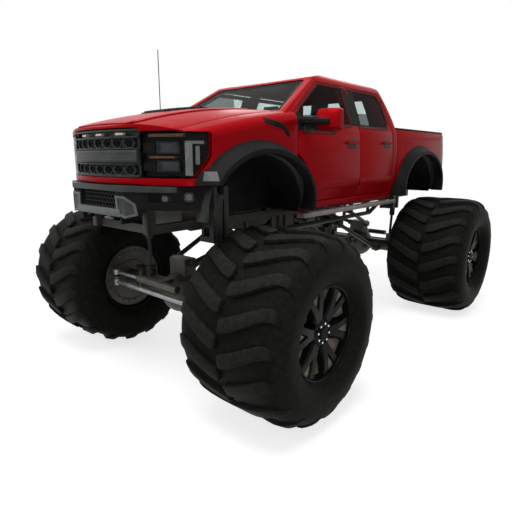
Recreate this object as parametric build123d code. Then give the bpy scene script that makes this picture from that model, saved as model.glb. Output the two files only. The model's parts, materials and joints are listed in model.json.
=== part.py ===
from build123d import *
import os
from math import cos, pi, sin, sqrt

# Lifted off-road pickup on four flotation tyres.
# Millimetres: X forward, Y to the left, Z up, origin on the ground under the middle.

# Driving dimensions of the running gear
TRACK = 2784
TYRE_RADIUS = 838
TYRE_WIDTH = 1110
BEAD_RADIUS = 402
BEAD_WIDTH = 880
CARCASS_WALL = 70
LUG_HEIGHT = 44
RIM_WIDTH = 940
RIM_WALL = 18
RIM_FLANGE = 12
HUB_RADIUS = 150
SPINDLE_RADIUS = 80
SPOKES = 6
WHEEL_TO_KINGPIN = 622
KINGPIN_RADIUS = 26
STEER_ARM = 330
AXLE_TUBE_RADIUS = 92
DIFF_RADIUS = 230
YOKE_HEIGHT = 324
YOKE_LUG = 44
TIE_ROD_RADIUS = 26
RAM_RADIUS = 38
RAM_ROD_RADIUS = 18
LINK_RADIUS = 28
SHOCK_RADIUS = 40
SHOCK_TOP_Z = 1900

# Driving dimensions of the body; stations along X are shares of its length
BODY_LENGTH = 5780


def station(share):
    return round(share * BODY_LENGTH)


HALF_LENGTH = station(0.5)
WHEELBASE = station(0.6765)
CAB_FRONT_X = station(0.2154)
COWL_X = station(0.2413)
HEADER_X = station(0.1081)
DOOR_SPLIT_X = station(-0.0035)
DOOR_BACK_X = station(-0.1566)
CAB_BACK_X = station(-0.18)
CAB_TO_BED = 20
TAIL_OVERHANG = 100
NOSE_SETBACK = 42
SILL_Z = 1720
SILL_TOP_Z = 1800
CREASE_Z = 2030
BELT_Z = 2600
RAIL_Z = 3110
ROOF_Z = 3235
SILL_Y = 940
CREASE_Y = 1020
BELT_Y = 985
RAIL_Y = 755
COWL_Z = 2690
COWL_LEDGE = 130
HEADER_Z = 3140
BACK_LEAN = 150
BACK_BULGE = 40
SIDE_WALL = 130
ROOF_WALL = 60
FRONT_WALL = 60
BACK_WALL = 70
FLOOR_WALL = 60
SKIN = 35
PILLAR_WIDTH = 120
WINDOW_BORDER = 30
GLASS = 6
GLASS_DEPTH = 12
PANEL_GAP = 8
UPPER_GAP = 22
BED_RAIL_Z = 2640
BED_FLOOR_Z = 2010
BED_WALL = 70
GATE_WALL = 65
ARCH_FRONT_SETBACK = 165
ARCH_REAR_SETBACK = 105
ARCH_Z = 1840
FLARE_A = station(0.1436)
FLARE_B = 620
ARCH_A = station(0.1194)
ARCH_B = 465
LINER = 12
LINER_Y = 508
FLARE_Y = 1130
FLARE_FOOT_Z = 1740
FLARE_FRONT_FOOT_Z = 2052
GRILLE_HALF_WIDTH = 515
GRILLE_TOP_Z = 2505
LAMP_TOP_Z = 2475
LAMP_LOW_Z = 2105
HOOD_HALF_WIDTH = 848
BUMPER_Z = 1790
BUMPER_TOP_Z = 2038
FACE_DEPTH = 90
CARRIER = 50
FENDER_WALL = 60
ANTENNA_TOP_Z = 3509

# Driving dimensions of the frame
RAIL_SETBACK = 250
RAIL_TUBE_Y = 430
RAIL_TUBE_WIDTH = 70
RAIL_TUBE_Z = 1640
RAIL_TUBE_HEIGHT = 80
LOWER_TUBE_Z = 1420
LOWER_TUBE_SETBACK = 505
TUBE_RADIUS = 30
TOWER_Y = 600
POST_WIDTH = 60
POST_SPACING = 150
POST_LOW_Z = 1460
POST_TOP_Z = 2000

# Fits
FIT = 0.3
RUNNING_FIT = 0.05
PIN_RADIUS = 3.7

# Places worked out from the driving dimensions
AXLE_Z = TYRE_RADIUS
AXLE_X = WHEELBASE / 2
WHEEL_Y = TRACK / 2
KINGPIN_Y = WHEEL_Y - WHEEL_TO_KINGPIN
BED_FRONT_X = CAB_BACK_X - CAB_TO_BED
BED_BACK_X = -HALF_LENGTH + TAIL_OVERHANG
NOSE_X = HALF_LENGTH - NOSE_SETBACK
HOOD_BACK_X = COWL_X + 40
ARCH_FRONT_X = AXLE_X - ARCH_FRONT_SETBACK
ARCH_REAR_X = -AXLE_X + ARCH_REAR_SETBACK
RAIL_TUBE_END_X = HALF_LENGTH - RAIL_SETBACK
LOWER_TUBE_END_X = AXLE_X - LOWER_TUBE_SETBACK
RAIL_IN_Y = RAIL_TUBE_Y - RAIL_TUBE_WIDTH / 2
RAIL_OUT_Y = RAIL_TUBE_Y + RAIL_TUBE_WIDTH / 2
RAIL_LOW_Z = RAIL_TUBE_Z - RAIL_TUBE_HEIGHT / 2
RAIL_TOP_Z = RAIL_TUBE_Z + RAIL_TUBE_HEIGHT / 2
FLOOR_LOW_Z = SILL_Z + 20
FLOOR_TOP_Z = FLOOR_LOW_Z + FLOOR_WALL
WINDSCREEN_SLOPE = (HEADER_Z - COWL_Z) / (COWL_X - HEADER_X)
FAR = BODY_LENGTH + HALF_LENGTH
TOP = ANTENNA_TOP_Z + HALF_LENGTH


# Shape helpers
def box(x0, x1, y0, y1, z0, z1):
    return Pos((x0 + x1) / 2, (y0 + y1) / 2, (z0 + z1) / 2) * Box(x1 - x0, y1 - y0, z1 - z0)


def pulled_along_y(edges, y0, y1):
    plane = Plane(origin=(0, y0, 0), x_dir=(1, 0, 0), z_dir=(0, -1, 0))
    return extrude(plane * make_face(edges), y1 - y0, dir=(0, 1, 0))


def pulled_along_x(edges, x0, x1):
    plane = Plane(origin=(x0, 0, 0), x_dir=(0, 1, 0), z_dir=(1, 0, 0))
    return extrude(plane * make_face(edges), x1 - x0, dir=(1, 0, 0))


def pulled_along_z(edges, z0, z1):
    return extrude(Pos(0, 0, z0) * make_face(edges), z1 - z0, dir=(0, 0, 1))


def side_prism(points, y0, y1):
    return pulled_along_y(Polyline(*points, close=True), y0, y1)


def front_prism(points, x0, x1):
    return pulled_along_x(Polyline(*points, close=True), x0, x1)


def plan_prism(points, z0, z1):
    return pulled_along_z(Polyline(*points, close=True), z0, z1)


def tube(start, end, radius):
    axis = Vector(*end) - Vector(*start)
    return extrude(Plane(origin=start, z_dir=axis) * Circle(radius), axis.length, dir=axis)


def ellipse_prism(x, a, b, y0, y1):
    plane = Plane(origin=(x, y0, ARCH_Z), x_dir=(1, 0, 0), z_dir=(0, -1, 0))
    return extrude(plane * Ellipse(a, b), y1 - y0, dir=(0, 1, 0))


def across(shape):
    return mirror(shape, about=Plane.XZ)


def to_rear(shape):
    return mirror(shape, about=Plane.YZ)


def pair(shape):
    return [shape, across(shape)]


def fused(shapes):
    first, *rest = shapes
    return first.fuse(*rest)


NODES = {}


def keep(name, *shapes):
    found = []
    for shape in shapes:
        found.extend(shape.solids())
    NODES[name] = found[0] if len(found) == 1 else Compound(children=found)


# Cab form: front outline pulled along X and cut by the side outline pulled along Y
SIDE_BULGE = 8
ROOF_EDGE = (110, 81)
ROOF_EDGE_MIDDLE = (0.4, 0.68)
ROOF_BACK_RISE = 45
BACK_BELT_RISE = 40


def body_section(side_in, roof_in):
    sill = (SILL_Y - side_in, SILL_Z)
    crease = (CREASE_Y - side_in, CREASE_Z)
    bulge = (CREASE_Y - side_in - SIDE_BULGE, (CREASE_Z + BELT_Z) / 2)
    belt = (BELT_Y - side_in, BELT_Z)
    rail = (RAIL_Y - side_in, RAIL_Z)
    rise = ROOF_EDGE[1] - roof_in / 2
    middle = (rail[0] - ROOF_EDGE_MIDDLE[0] * ROOF_EDGE[0], RAIL_Z + ROOF_EDGE_MIDDLE[1] * rise)
    roof = (rail[0] - ROOF_EDGE[0], RAIL_Z + rise)
    half = [
        Line((0, SILL_Z), sill),
        Line(sill, crease),
        ThreePointArc(crease, bulge, belt),
        Line(belt, rail),
        ThreePointArc(rail, middle, roof),
    ]
    other = [mirror(edge, about=Plane.YZ) for edge in half]
    top = ThreePointArc(roof, (0, ROOF_Z - roof_in), (-roof[0], roof[1]))
    return pulled_along_x(half + other + [top], -FAR / 2, FAR / 2)


def cab_profile(roof_in, front_in, back_in):
    drop = front_in * (sqrt(1 + WINDSCREEN_SLOPE**2) - WINDSCREEN_SLOPE)
    low_front = (CAB_FRONT_X - front_in, SILL_Z)
    ledge = (CAB_FRONT_X - front_in, COWL_Z - COWL_LEDGE - drop)
    cowl = (COWL_X - front_in, COWL_Z - drop)
    header = (HEADER_X - front_in, HEADER_Z - drop)
    top_back = (CAB_BACK_X + BACK_LEAN + back_in, RAIL_Z + ROOF_BACK_RISE - roof_in)
    belt_back = (CAB_BACK_X + back_in, BELT_Z + BACK_BELT_RISE)
    back_middle = ((top_back[0] + belt_back[0]) / 2 - BACK_BULGE, (top_back[1] + belt_back[1]) / 2)
    low_back = (CAB_BACK_X + back_in, SILL_Z)
    crown = ((header[0] + top_back[0]) / 2, ROOF_Z - roof_in)
    edges = [
        Line(low_front, ledge),
        Line(ledge, cowl),
        Line(cowl, header),
        ThreePointArc(header, crown, top_back),
        ThreePointArc(top_back, back_middle, belt_back),
        Line(belt_back, low_back),
        Line(low_back, low_front),
    ]
    return pulled_along_y(edges, -FAR / 2, FAR / 2)


def cab_form(side_in=0, roof_in=0, front_in=0, back_in=0):
    return body_section(side_in, roof_in) & cab_profile(roof_in, front_in, back_in)


def pillar_line_z(x, drop):
    return COWL_Z + (COWL_X - x) * WINDSCREEN_SLOPE - drop


def pillar_line_x(z, drop):
    return COWL_X - (z + drop - COWL_Z) / WINDSCREEN_SLOPE


# Front body form: sections lofted along X, cut by a plan outline with a rounded nose
# Columns: x, half width, shoulder height, crease half width, crease height, crown height
FRONT_BACK_X = CAB_FRONT_X - 200
FRONT_SECTIONS = [
    (FRONT_BACK_X, 990, 2742, 560, 2727, 2742),
    (HALF_LENGTH - 470, 990, 2520, 500, 2630, 2645),
    (HALF_LENGTH + 30, 960, 2400, 470, 2498, 2510),
]
SHOULDER = 80
SHOULDER_DROP = 120
SHOULDER_MIDDLE = 0.29
SILL_TUCK = 60
FENDER_BULGE = 20
HOOD_BULGE = 12


def front_section(x, side_y, shoulder_z, crease_y, crease_z, crown_z, inset):
    sill = (x, side_y - SILL_TUCK - inset, SILL_Z)
    bulge = (x, side_y + FENDER_BULGE - inset, CREASE_Z)
    side = (x, side_y - inset, shoulder_z - SHOULDER_DROP - inset)
    middle_y = side_y - SHOULDER_MIDDLE * SHOULDER - inset
    middle = (x, middle_y, shoulder_z - SHOULDER_MIDDLE * SHOULDER_DROP - inset)
    shoulder = (x, side_y - SHOULDER - inset, shoulder_z - inset)
    hood_middle = (x, (shoulder[1] + crease_y) / 2, (shoulder_z + crease_z) / 2 + HOOD_BULGE - inset)
    crease = (x, crease_y, crease_z - inset)
    crown_middle = (x, crease_y / 2, (crease_z + 3 * crown_z) / 4 - inset)
    crown = (x, 0, crown_z - inset)
    half = [
        Line((x, 0, SILL_Z), sill),
        Line(sill, bulge),
        Line(bulge, side),
        ThreePointArc(side, middle, shoulder),
        ThreePointArc(shoulder, hood_middle, crease),
        ThreePointArc(crease, crown_middle, crown),
    ]
    return make_face(half + [across(edge) for edge in half])


NOSE_CORNER = (HALF_LENGTH - 290, 905)
NOSE_SIDE = (HALF_LENGTH - 640, 1060)
NOSE_WRAP = 16


def front_plan(inset):
    back = FRONT_BACK_X
    corner = (NOSE_CORNER[0] - inset, NOSE_CORNER[1] - inset / 2)
    side = (NOSE_SIDE[0] - inset, NOSE_SIDE[1] - inset / 2)
    wrap = ((corner[0] + side[0]) / 2 + NOSE_WRAP, (corner[1] + side[1]) / 2 + NOSE_WRAP)
    edges = [
        Line((back, -side[1]), (back, side[1])),
        Line((back, side[1]), side),
        ThreePointArc(side, wrap, corner),
        ThreePointArc(corner, (NOSE_X - inset, 0), (corner[0], -corner[1])),
        ThreePointArc((corner[0], -corner[1]), (wrap[0], -wrap[1]), (side[0], -side[1])),
        Line((side[0], -side[1]), (back, -side[1])),
    ]
    return pulled_along_z(edges, SILL_Z, TOP)


def front_form(inset=0):
    faces = [front_section(*row, inset) for row in FRONT_SECTIONS]
    return loft(faces) & front_plan(inset)


def arch_hole(x, a_out, y0, y1):
    return ellipse_prism(x, ARCH_A + a_out, ARCH_B + a_out, y0, y1)


# Shared body forms
CAB_OUTER = cab_form()
CAB_SKIN_BACK = cab_form(side_in=SKIN)
CAB_INNER = cab_form(SIDE_WALL, ROOF_WALL, FRONT_WALL, BACK_WALL)
FRONT_OUTER = front_form()
CAB_SHELL = CAB_OUTER - CAB_INNER
FRONT_ARCH = arch_hole(ARCH_FRONT_X, LINER, LINER_Y, FLARE_Y + 100)
REAR_ARCH = arch_hole(ARCH_REAR_X, LINER, LINER_Y, FLARE_Y + 100)


# Doors, one row a door: outline of the skin, its window and its inner box
DOOR_FRONT_X = CAB_FRONT_X - PANEL_GAP
DOOR_LOW_Z = SILL_TOP_Z + PANEL_GAP
DOOR_TOP_Z = RAIL_Z - 25
WINDOW_TOP_Z = DOOR_TOP_Z - 25
PILLAR_DROP = 65
HALF_GAP = PANEL_GAP / 2
UPPER_BACK_X = DOOR_SPLIT_X + UPPER_GAP
REAR_TOP_X = DOOR_BACK_X + 130
REAR_CORNER_Z = DOOR_TOP_Z - 120
BELT_STEP = 20
POST_LAP = 20
WINDOW_FRONT_X = DOOR_FRONT_X - 110
WINDOW_LOW_Z = BELT_Z - 70
WINDOW_HIGH_Z = BELT_Z + 25
BELT_KINK_X = (HEADER_X - 195, HEADER_X - 65)


def front_door_outline():
    return [
        (DOOR_FRONT_X, DOOR_LOW_Z),
        (DOOR_FRONT_X, pillar_line_z(DOOR_FRONT_X, PILLAR_DROP)),
        (pillar_line_x(DOOR_TOP_Z, PILLAR_DROP), DOOR_TOP_Z),
        (UPPER_BACK_X, DOOR_TOP_Z),
        (UPPER_BACK_X, BELT_Z),
        (DOOR_SPLIT_X + HALF_GAP, BELT_Z - BELT_STEP),
        (DOOR_SPLIT_X + HALF_GAP, DOOR_LOW_Z),
    ]


def rear_door_outline():
    return [
        (DOOR_SPLIT_X - HALF_GAP, DOOR_LOW_Z),
        (DOOR_SPLIT_X - HALF_GAP, DOOR_TOP_Z),
        (REAR_TOP_X, DOOR_TOP_Z),
        (DOOR_BACK_X + UPPER_GAP, REAR_CORNER_Z),
        (DOOR_BACK_X + UPPER_GAP, BELT_Z),
        (DOOR_BACK_X, BELT_Z - BELT_STEP),
        (DOOR_BACK_X, DOOR_LOW_Z),
    ]


def door_openings():
    front = [
        (CAB_FRONT_X + POST_LAP, SILL_TOP_Z),
        (CAB_FRONT_X + POST_LAP, pillar_line_z(CAB_FRONT_X + POST_LAP, PILLAR_DROP - PANEL_GAP)),
        (pillar_line_x(DOOR_TOP_Z + PANEL_GAP, PILLAR_DROP - PANEL_GAP), DOOR_TOP_Z + PANEL_GAP),
        (REAR_TOP_X - UPPER_GAP, DOOR_TOP_Z + PANEL_GAP),
        (DOOR_BACK_X - PANEL_GAP, REAR_CORNER_Z + BELT_STEP),
        (DOOR_BACK_X - PANEL_GAP, SILL_TOP_Z),
    ]
    return side_prism(front, 0, FAR / 2)


# Window edges at the belt and at the top, beside the dark pillar between the doors
FRONT_WINDOW_BACK_X = (UPPER_BACK_X + 140, UPPER_BACK_X + 110)
REAR_WINDOW_FRONT_X = (DOOR_SPLIT_X - 60, DOOR_SPLIT_X - 130)
REAR_WINDOW_BACK_X = DOOR_BACK_X + UPPER_GAP + 40
WINDOW_ROUNDING = 30
FRONT_WINDOW = [
    (WINDOW_FRONT_X, WINDOW_LOW_Z),
    (BELT_KINK_X[1], WINDOW_LOW_Z),
    (BELT_KINK_X[0], BELT_Z + 10),
    (FRONT_WINDOW_BACK_X[0], WINDOW_HIGH_Z),
    (FRONT_WINDOW_BACK_X[1], WINDOW_TOP_Z),
    (pillar_line_x(WINDOW_TOP_Z, PILLAR_DROP + WINDOW_BORDER), WINDOW_TOP_Z),
    (WINDOW_FRONT_X, pillar_line_z(WINDOW_FRONT_X, PILLAR_DROP + WINDOW_BORDER)),
]
REAR_WINDOW = [
    (REAR_WINDOW_FRONT_X[0], WINDOW_HIGH_Z),
    (REAR_WINDOW_FRONT_X[1], WINDOW_TOP_Z),
    (REAR_TOP_X + 25, WINDOW_TOP_Z),
    (REAR_WINDOW_BACK_X, REAR_CORNER_Z - 15),
    (REAR_WINDOW_BACK_X, WINDOW_HIGH_Z + 85),
    (REAR_WINDOW_BACK_X + 80, WINDOW_HIGH_Z),
]


def window_prism(corners):
    face = make_face(Polyline(*corners, close=True))
    plane = Plane(origin=(0, 0, 0), x_dir=(1, 0, 0), z_dir=(0, -1, 0))
    return extrude(plane * fillet(face.vertices(), WINDOW_ROUNDING), FAR / 2, dir=(0, 1, 0))


# Columns: name, outline, window, inner box back x, inner box front x
DOORS = [
    ("front_door", front_door_outline(), FRONT_WINDOW, DOOR_SPLIT_X + 100, CAB_FRONT_X - 135),
    ("rear_door", rear_door_outline(), REAR_WINDOW, DOOR_BACK_X + 55, DOOR_SPLIT_X - 110),
]
DOOR_DEPTH = 110
DOOR_BOX_RISE = 45
DOOR_BOX_DROP = 75
DOOR_BOX_CLEARANCE = 60
GLASS_LAYER = cab_form(side_in=GLASS_DEPTH) - cab_form(side_in=GLASS_DEPTH + GLASS)


def build_doors():
    flare_gap = ellipse_prism(ARCH_FRONT_X, FLARE_A + PANEL_GAP, FLARE_B + PANEL_GAP, 0, FAR / 2)
    wider = DOOR_BOX_CLEARANCE
    box_gap = ellipse_prism(ARCH_FRONT_X, FLARE_A + wider, FLARE_B + wider, 0, FAR / 2)
    skin = CAB_OUTER - CAB_SKIN_BACK
    core = CAB_SKIN_BACK - cab_form(side_in=DOOR_DEPTH)
    for name, outline, window, back_x, front_x in DOORS:
        opening = window_prism(window)
        panel = (skin & side_prism(outline, 0, FAR / 2)) - opening - flare_gap
        low_z = SILL_TOP_Z + DOOR_BOX_RISE
        inner = core & box(back_x, front_x, 0, FAR / 2, low_z, BELT_Z - DOOR_BOX_DROP)
        door = panel.fuse(inner - box_gap)
        pane = GLASS_LAYER & opening
        for side, shape, glass in zip(("left", "right"), pair(door), pair(pane)):
            keep(f"{name}_{side}", shape)
            keep(f"{name}_glass_{side}", glass)


# Cab shell, split into sides, roof, back wall, cowl wall and floor
SPLIT_Y = 640
FRONT_PIN_Z = (2296, 2350)
REAR_PIN_Z = (2000, 2060)
FRONT_PIN_Y = CREASE_Y - 17
REAR_PIN_Y = CREASE_Y - 6
LEAF_DEPTH = 60
HALF_LEAF = 1.5
POST_DEPTH = 80
SCREEN_BORDER = 75
SCREEN_HALF_WIDTHS = (838, 668)
BACK_WINDOW_HALF_WIDTHS = (600, 520)
BACK_WINDOW_Z = (BELT_Z + 100, RAIL_Z - 80)
PANE_DEPTH = 10


def windscreen_opening():
    length = sqrt((COWL_X - HEADER_X) ** 2 + (HEADER_Z - COWL_Z) ** 2)
    low, high = SCREEN_BORDER, length - SCREEN_BORDER
    low_y, high_y = SCREEN_HALF_WIDTHS
    corners = [(-low_y, low), (low_y, low), (high_y, high), (-high_y, high)]
    plane = Plane(origin=(COWL_X, 0, COWL_Z), x_dir=(0, 1, 0), z_dir=(WINDSCREEN_SLOPE, 0, 1))
    return extrude(plane * make_face(Polyline(*corners, close=True)), 2 * FRONT_WALL, both=True)


def back_opening():
    low_y, high_y = BACK_WINDOW_HALF_WIDTHS
    low, high = BACK_WINDOW_Z
    corners = [(-low_y, low), (low_y, low), (high_y, high), (-high_y, high)]
    return front_prism(corners, CAB_BACK_X - BACK_WALL, CAB_BACK_X + 2 * BACK_LEAN)


def build_cab():
    shell = CAB_SHELL - windscreen_opening() - back_opening()
    half = shell & box(-FAR, FAR, SPLIT_Y, FAR, SILL_Z, RAIL_Z)
    layer = cab_form(side_in=SKIN + 10) - CAB_INNER - windscreen_opening()
    posts = box(CAB_FRONT_X - POST_DEPTH, CAB_FRONT_X, SPLIT_Y, FAR, SILL_Z, RAIL_Z)
    half_pillar = PILLAR_WIDTH / 2
    posts = posts.fuse(box(DOOR_SPLIT_X - half_pillar, DOOR_SPLIT_X + half_pillar, 0, FAR, SILL_Z, RAIL_Z))
    side = (half - door_openings()).fuse((layer & posts) & box(-FAR, FAR, 0, FAR, SILL_Z, RAIL_Z))
    side = side - FRONT_ARCH
    pin_x = DOOR_SPLIT_X
    low_z, high_z = REAR_PIN_Z
    leaf = box(pin_x - HALF_LEAF, pin_x + HALF_LEAF, REAR_PIN_Y - LEAF_DEPTH, REAR_PIN_Y, low_z, high_z)
    pin = tube((pin_x, REAR_PIN_Y, low_z), (pin_x, REAR_PIN_Y, high_z), PIN_RADIUS)
    side = side.fuse(leaf, pin)
    keep("cab_sides", *pair(side))
    keep("roof_panel", shell & box(-FAR, FAR, -FAR, FAR, RAIL_Z, TOP))
    middle = shell & box(-FAR, FAR, -SPLIT_Y, SPLIT_Y, SILL_Z, RAIL_Z)
    cowl = middle & box(FRONT_BACK_X, FAR, -FAR, FAR, SILL_Z, TOP)
    keep("cowl_wall", cowl - FRONT_ARCH - across(FRONT_ARCH))
    keep("cab_back", middle & box(-FAR, (DOOR_SPLIT_X + CAB_BACK_X) / 2, -FAR, FAR, SILL_Z, TOP))
    floor = CAB_INNER & box(-FAR, FAR, -FAR, FAR, FLOOR_LOW_Z, FLOOR_TOP_Z)
    keep("cab_floor", floor - FRONT_ARCH - across(FRONT_ARCH))
    screen = (CAB_OUTER & cab_profile(0, PANE_DEPTH, 0)) - cab_profile(0, PANE_DEPTH + GLASS, 0)
    back = (CAB_OUTER & cab_profile(0, 0, PANE_DEPTH)) - cab_profile(0, 0, PANE_DEPTH + GLASS)
    keep("cab_glass", screen & windscreen_opening(), back & back_opening())


# Front panels
def hood_zone(gap):
    width = HOOD_HALF_WIDTH + gap
    corners = [
        (width, LAMP_TOP_Z + PANEL_GAP - gap),
        (GRILLE_HALF_WIDTH, LAMP_TOP_Z + PANEL_GAP - gap),
        (GRILLE_HALF_WIDTH, GRILLE_TOP_Z + PANEL_GAP - gap),
    ]
    other = [(-y, z) for y, z in reversed(corners)]
    return front_prism(corners + other + [(-width, TOP), (width, TOP)], HOOD_BACK_X - gap, FAR / 2)


LAMP_SETBACKS = (490, 485, 360)
LAMP_ELBOW_Z = LAMP_LOW_Z + 185
LENS_DEPTH = 12
LAMP_BAR_DEPTH = 40
LAMP_POCKET_DEPTH = 50
# Columns: y from and to, z from and to
LAMP_BARS = [
    (895, 938, LAMP_LOW_Z + 20, LAMP_TOP_Z - 70),
    (895, 985, LAMP_TOP_Z - 100, LAMP_TOP_Z - 70),
]
LAMP_POCKETS = [
    (665, 855, LAMP_TOP_Z - 175, LAMP_TOP_Z - 78),
    (665, 855, LAMP_LOW_Z + 52, LAMP_LOW_Z + 142),
]


def lamp_zone():
    corners = [
        (HALF_LENGTH - LAMP_SETBACKS[0], LAMP_TOP_Z),
        (HALF_LENGTH - LAMP_SETBACKS[1], LAMP_ELBOW_Z),
        (HALF_LENGTH - LAMP_SETBACKS[2], LAMP_LOW_Z),
        (FAR / 2, LAMP_LOW_Z),
        (FAR / 2, LAMP_TOP_Z),
    ]
    return side_prism(corners, GRILLE_HALF_WIDTH, FAR / 2)


def headlamp():
    lens = front_form(LENS_DEPTH) - front_form(FACE_DEPTH)
    bar_skin = FRONT_OUTER - front_form(LAMP_BAR_DEPTH)
    pocket_skin = FRONT_OUTER - front_form(LAMP_POCKET_DEPTH)
    pockets = fused([box(0, FAR, *row) for row in LAMP_POCKETS])
    bars = fused([box(0, FAR, *row) for row in LAMP_BARS])
    return ((lens - (pocket_skin & pockets)) & lamp_zone()).fuse(bar_skin & bars & lamp_zone())


HOOD_PIN_X = HOOD_BACK_X + 27
HOOD_PIN_Z = COWL_Z - 14
HOOD_PIN_RADIUS = 8
HOOD_PIN_LAP = 18
HOOD_PIN_FACE_GAP = 4
HOOD_PIN_END_Y = HOOD_HALF_WIDTH + 32
CARRIER_BACK_X = HALF_LENGTH - 440
CARRIER_DROP = 60


def build_front():
    skin = FRONT_OUTER - front_form(SKIN)
    face = FRONT_OUTER - front_form(FACE_DEPTH)
    wall = FRONT_OUTER - front_form(FENDER_WALL)
    bore_end = HOOD_HALF_WIDTH - HOOD_PIN_LAP
    bore_radius = HOOD_PIN_RADIUS + RUNNING_FIT
    bore = tube((HOOD_PIN_X, bore_end, HOOD_PIN_Z), (HOOD_PIN_X, FAR, HOOD_PIN_Z), bore_radius)
    keep("hood", (skin & hood_zone(0)) - bore - across(bore))
    panel_low_z = BUMPER_TOP_Z + PANEL_GAP
    half = wall & box(CAB_FRONT_X, FAR, GRILLE_HALF_WIDTH, FAR, panel_low_z, TOP)
    foot = wall & box(CAB_FRONT_X, ARCH_FRONT_X, GRILLE_HALF_WIDTH, FAR, FLARE_FOOT_Z, panel_low_z)
    fender = half.fuse(foot) - hood_zone(PANEL_GAP) - lamp_zone() - FRONT_ARCH - CAB_OUTER
    fender = fender - box(-FAR, FAR, 0, HOOD_HALF_WIDTH + PANEL_GAP, LAMP_TOP_Z, TOP)
    pin_start = (HOOD_PIN_X, bore_end + HOOD_PIN_FACE_GAP, HOOD_PIN_Z)
    pin = tube(pin_start, (HOOD_PIN_X, HOOD_PIN_END_Y, HOOD_PIN_Z), HOOD_PIN_RADIUS)
    low_z, high_z = FRONT_PIN_Z
    hinge_x = CAB_FRONT_X - HALF_GAP
    hinge = tube((hinge_x, FRONT_PIN_Y, low_z), (hinge_x, FRONT_PIN_Y, high_z), PIN_RADIUS)
    leaf_end = CAB_FRONT_X + PANEL_GAP
    leaf = box(hinge_x, leaf_end, FRONT_PIN_Y - HALF_LEAF, FRONT_PIN_Y + HALF_LEAF, low_z, high_z)
    keep("front_fenders", *pair(fender.fuse(pin, hinge, leaf)))
    keep("headlamps", *pair(headlamp()))
    centre = face & box(0, FAR, -GRILLE_HALF_WIDTH, GRILLE_HALF_WIDTH, LAMP_LOW_Z, GRILLE_TOP_Z)
    keep("grille", centre - grille_slots())
    strip = face & box(0, FAR, -GRILLE_HALF_WIDTH, GRILLE_HALF_WIDTH, panel_low_z, LAMP_LOW_Z)
    keep("front_valance", strip)
    carrier = front_form(FACE_DEPTH) - front_form(FACE_DEPTH + CARRIER)
    zone = box(CARRIER_BACK_X, FAR, -FAR, FAR, panel_low_z, LAMP_TOP_Z - CARRIER_DROP)
    keep("front_carrier", carrier & zone)


GRILLE_SLOT_ROWS = (LAMP_LOW_Z + 60, GRILLE_TOP_Z - 75)
GRILLE_SLOTS_PER_SIDE = 3
GRILLE_SLOT_HEIGHT = 95
GRILLE_SLOT_WIDTH = 124
GRILLE_SLOT_PITCH = 136


def grille_slots():
    slots = []
    for z in GRILLE_SLOT_ROWS:
        for index in range(-GRILLE_SLOTS_PER_SIDE, GRILLE_SLOTS_PER_SIDE + 1):
            y = index * GRILLE_SLOT_PITCH
            half_y, half_z = GRILLE_SLOT_WIDTH / 2, GRILLE_SLOT_HEIGHT / 2
            hexagon = [
                (y - half_y, z),
                (y - half_y / 2, z - half_z),
                (y + half_y / 2, z - half_z),
                (y + half_y, z),
                (y + half_y / 2, z + half_z),
                (y - half_y / 2, z + half_z),
            ]
            slots.append(front_prism(hexagon, NOSE_CORNER[0] - FACE_DEPTH, FAR / 2))
    return fused(slots)


# Wheel arch flares and liners
FLARE_ROOT_Y = BELT_Y - 25
FLARE_LIP = 45
LINER_END_Y = BELT_Y - 60
LINER_LOW_Z = RAIL_TOP_Z + 40


def flare(x, front_foot_z, rear_foot_z, body):
    base = Plane(origin=(x, FLARE_ROOT_Y, ARCH_Z), x_dir=(1, 0, 0), z_dir=(0, -1, 0))
    lip = Plane(origin=(x, FLARE_Y, ARCH_Z), x_dir=(1, 0, 0), z_dir=(0, -1, 0))
    lip_face = lip * Ellipse(ARCH_A + FLARE_LIP, ARCH_B + FLARE_LIP)
    shape = loft([base * Ellipse(FLARE_A, FLARE_B), lip_face], ruled=True)
    shape = shape - ellipse_prism(x, ARCH_A, ARCH_B, 0, FAR)
    shape = shape - box(x, FAR, 0, FAR, 0, front_foot_z) - box(-FAR, x, 0, FAR, 0, rear_foot_z)
    return shape - body


def liner(x):
    tunnel = arch_hole(x, LINER, LINER_Y, LINER_END_Y) - arch_hole(x, 0, LINER_Y + LINER, FAR)
    return tunnel - box(-FAR, FAR, 0, FAR, 0, LINER_LOW_Z)


def build_arches():
    front = flare(ARCH_FRONT_X, FLARE_FRONT_FOOT_Z, FLARE_FOOT_Z, FRONT_OUTER.fuse(CAB_OUTER))
    rear = flare(ARCH_REAR_X, FLARE_FOOT_Z, FLARE_FOOT_Z, body_section(0, 0))
    keep("wheel_flares", *pair(front), *pair(rear))
    front = liner(ARCH_FRONT_X) & FRONT_OUTER.fuse(CAB_OUTER)
    front = front - box(ARCH_FRONT_X, FAR, 0, FAR, 0, BUMPER_TOP_Z + PANEL_GAP)
    keep("arch_liners", *pair(front), *pair(liner(ARCH_REAR_X)))


# Load bed
GATE_PIN_RADIUS = 12
GATE_PIN_X = BED_BACK_X + GATE_WALL / 2
GATE_PIN_Z = BED_FLOOR_Z + 35
GATE_PIN_END_Y = CREASE_Y - 50
GATE_BORE_END_Y = CREASE_Y - 30
GATE_DROP = 10
BED_LOW_Z = SILL_Z + 40
BED_FLOOR_WALL = 40
BED_FLOOR_GAP = 30
TAIL_LAMP_Z = (BED_RAIL_Z - 480, BED_RAIL_Z - 80)
TAIL_LAMP_DEPTH = 95


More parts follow.
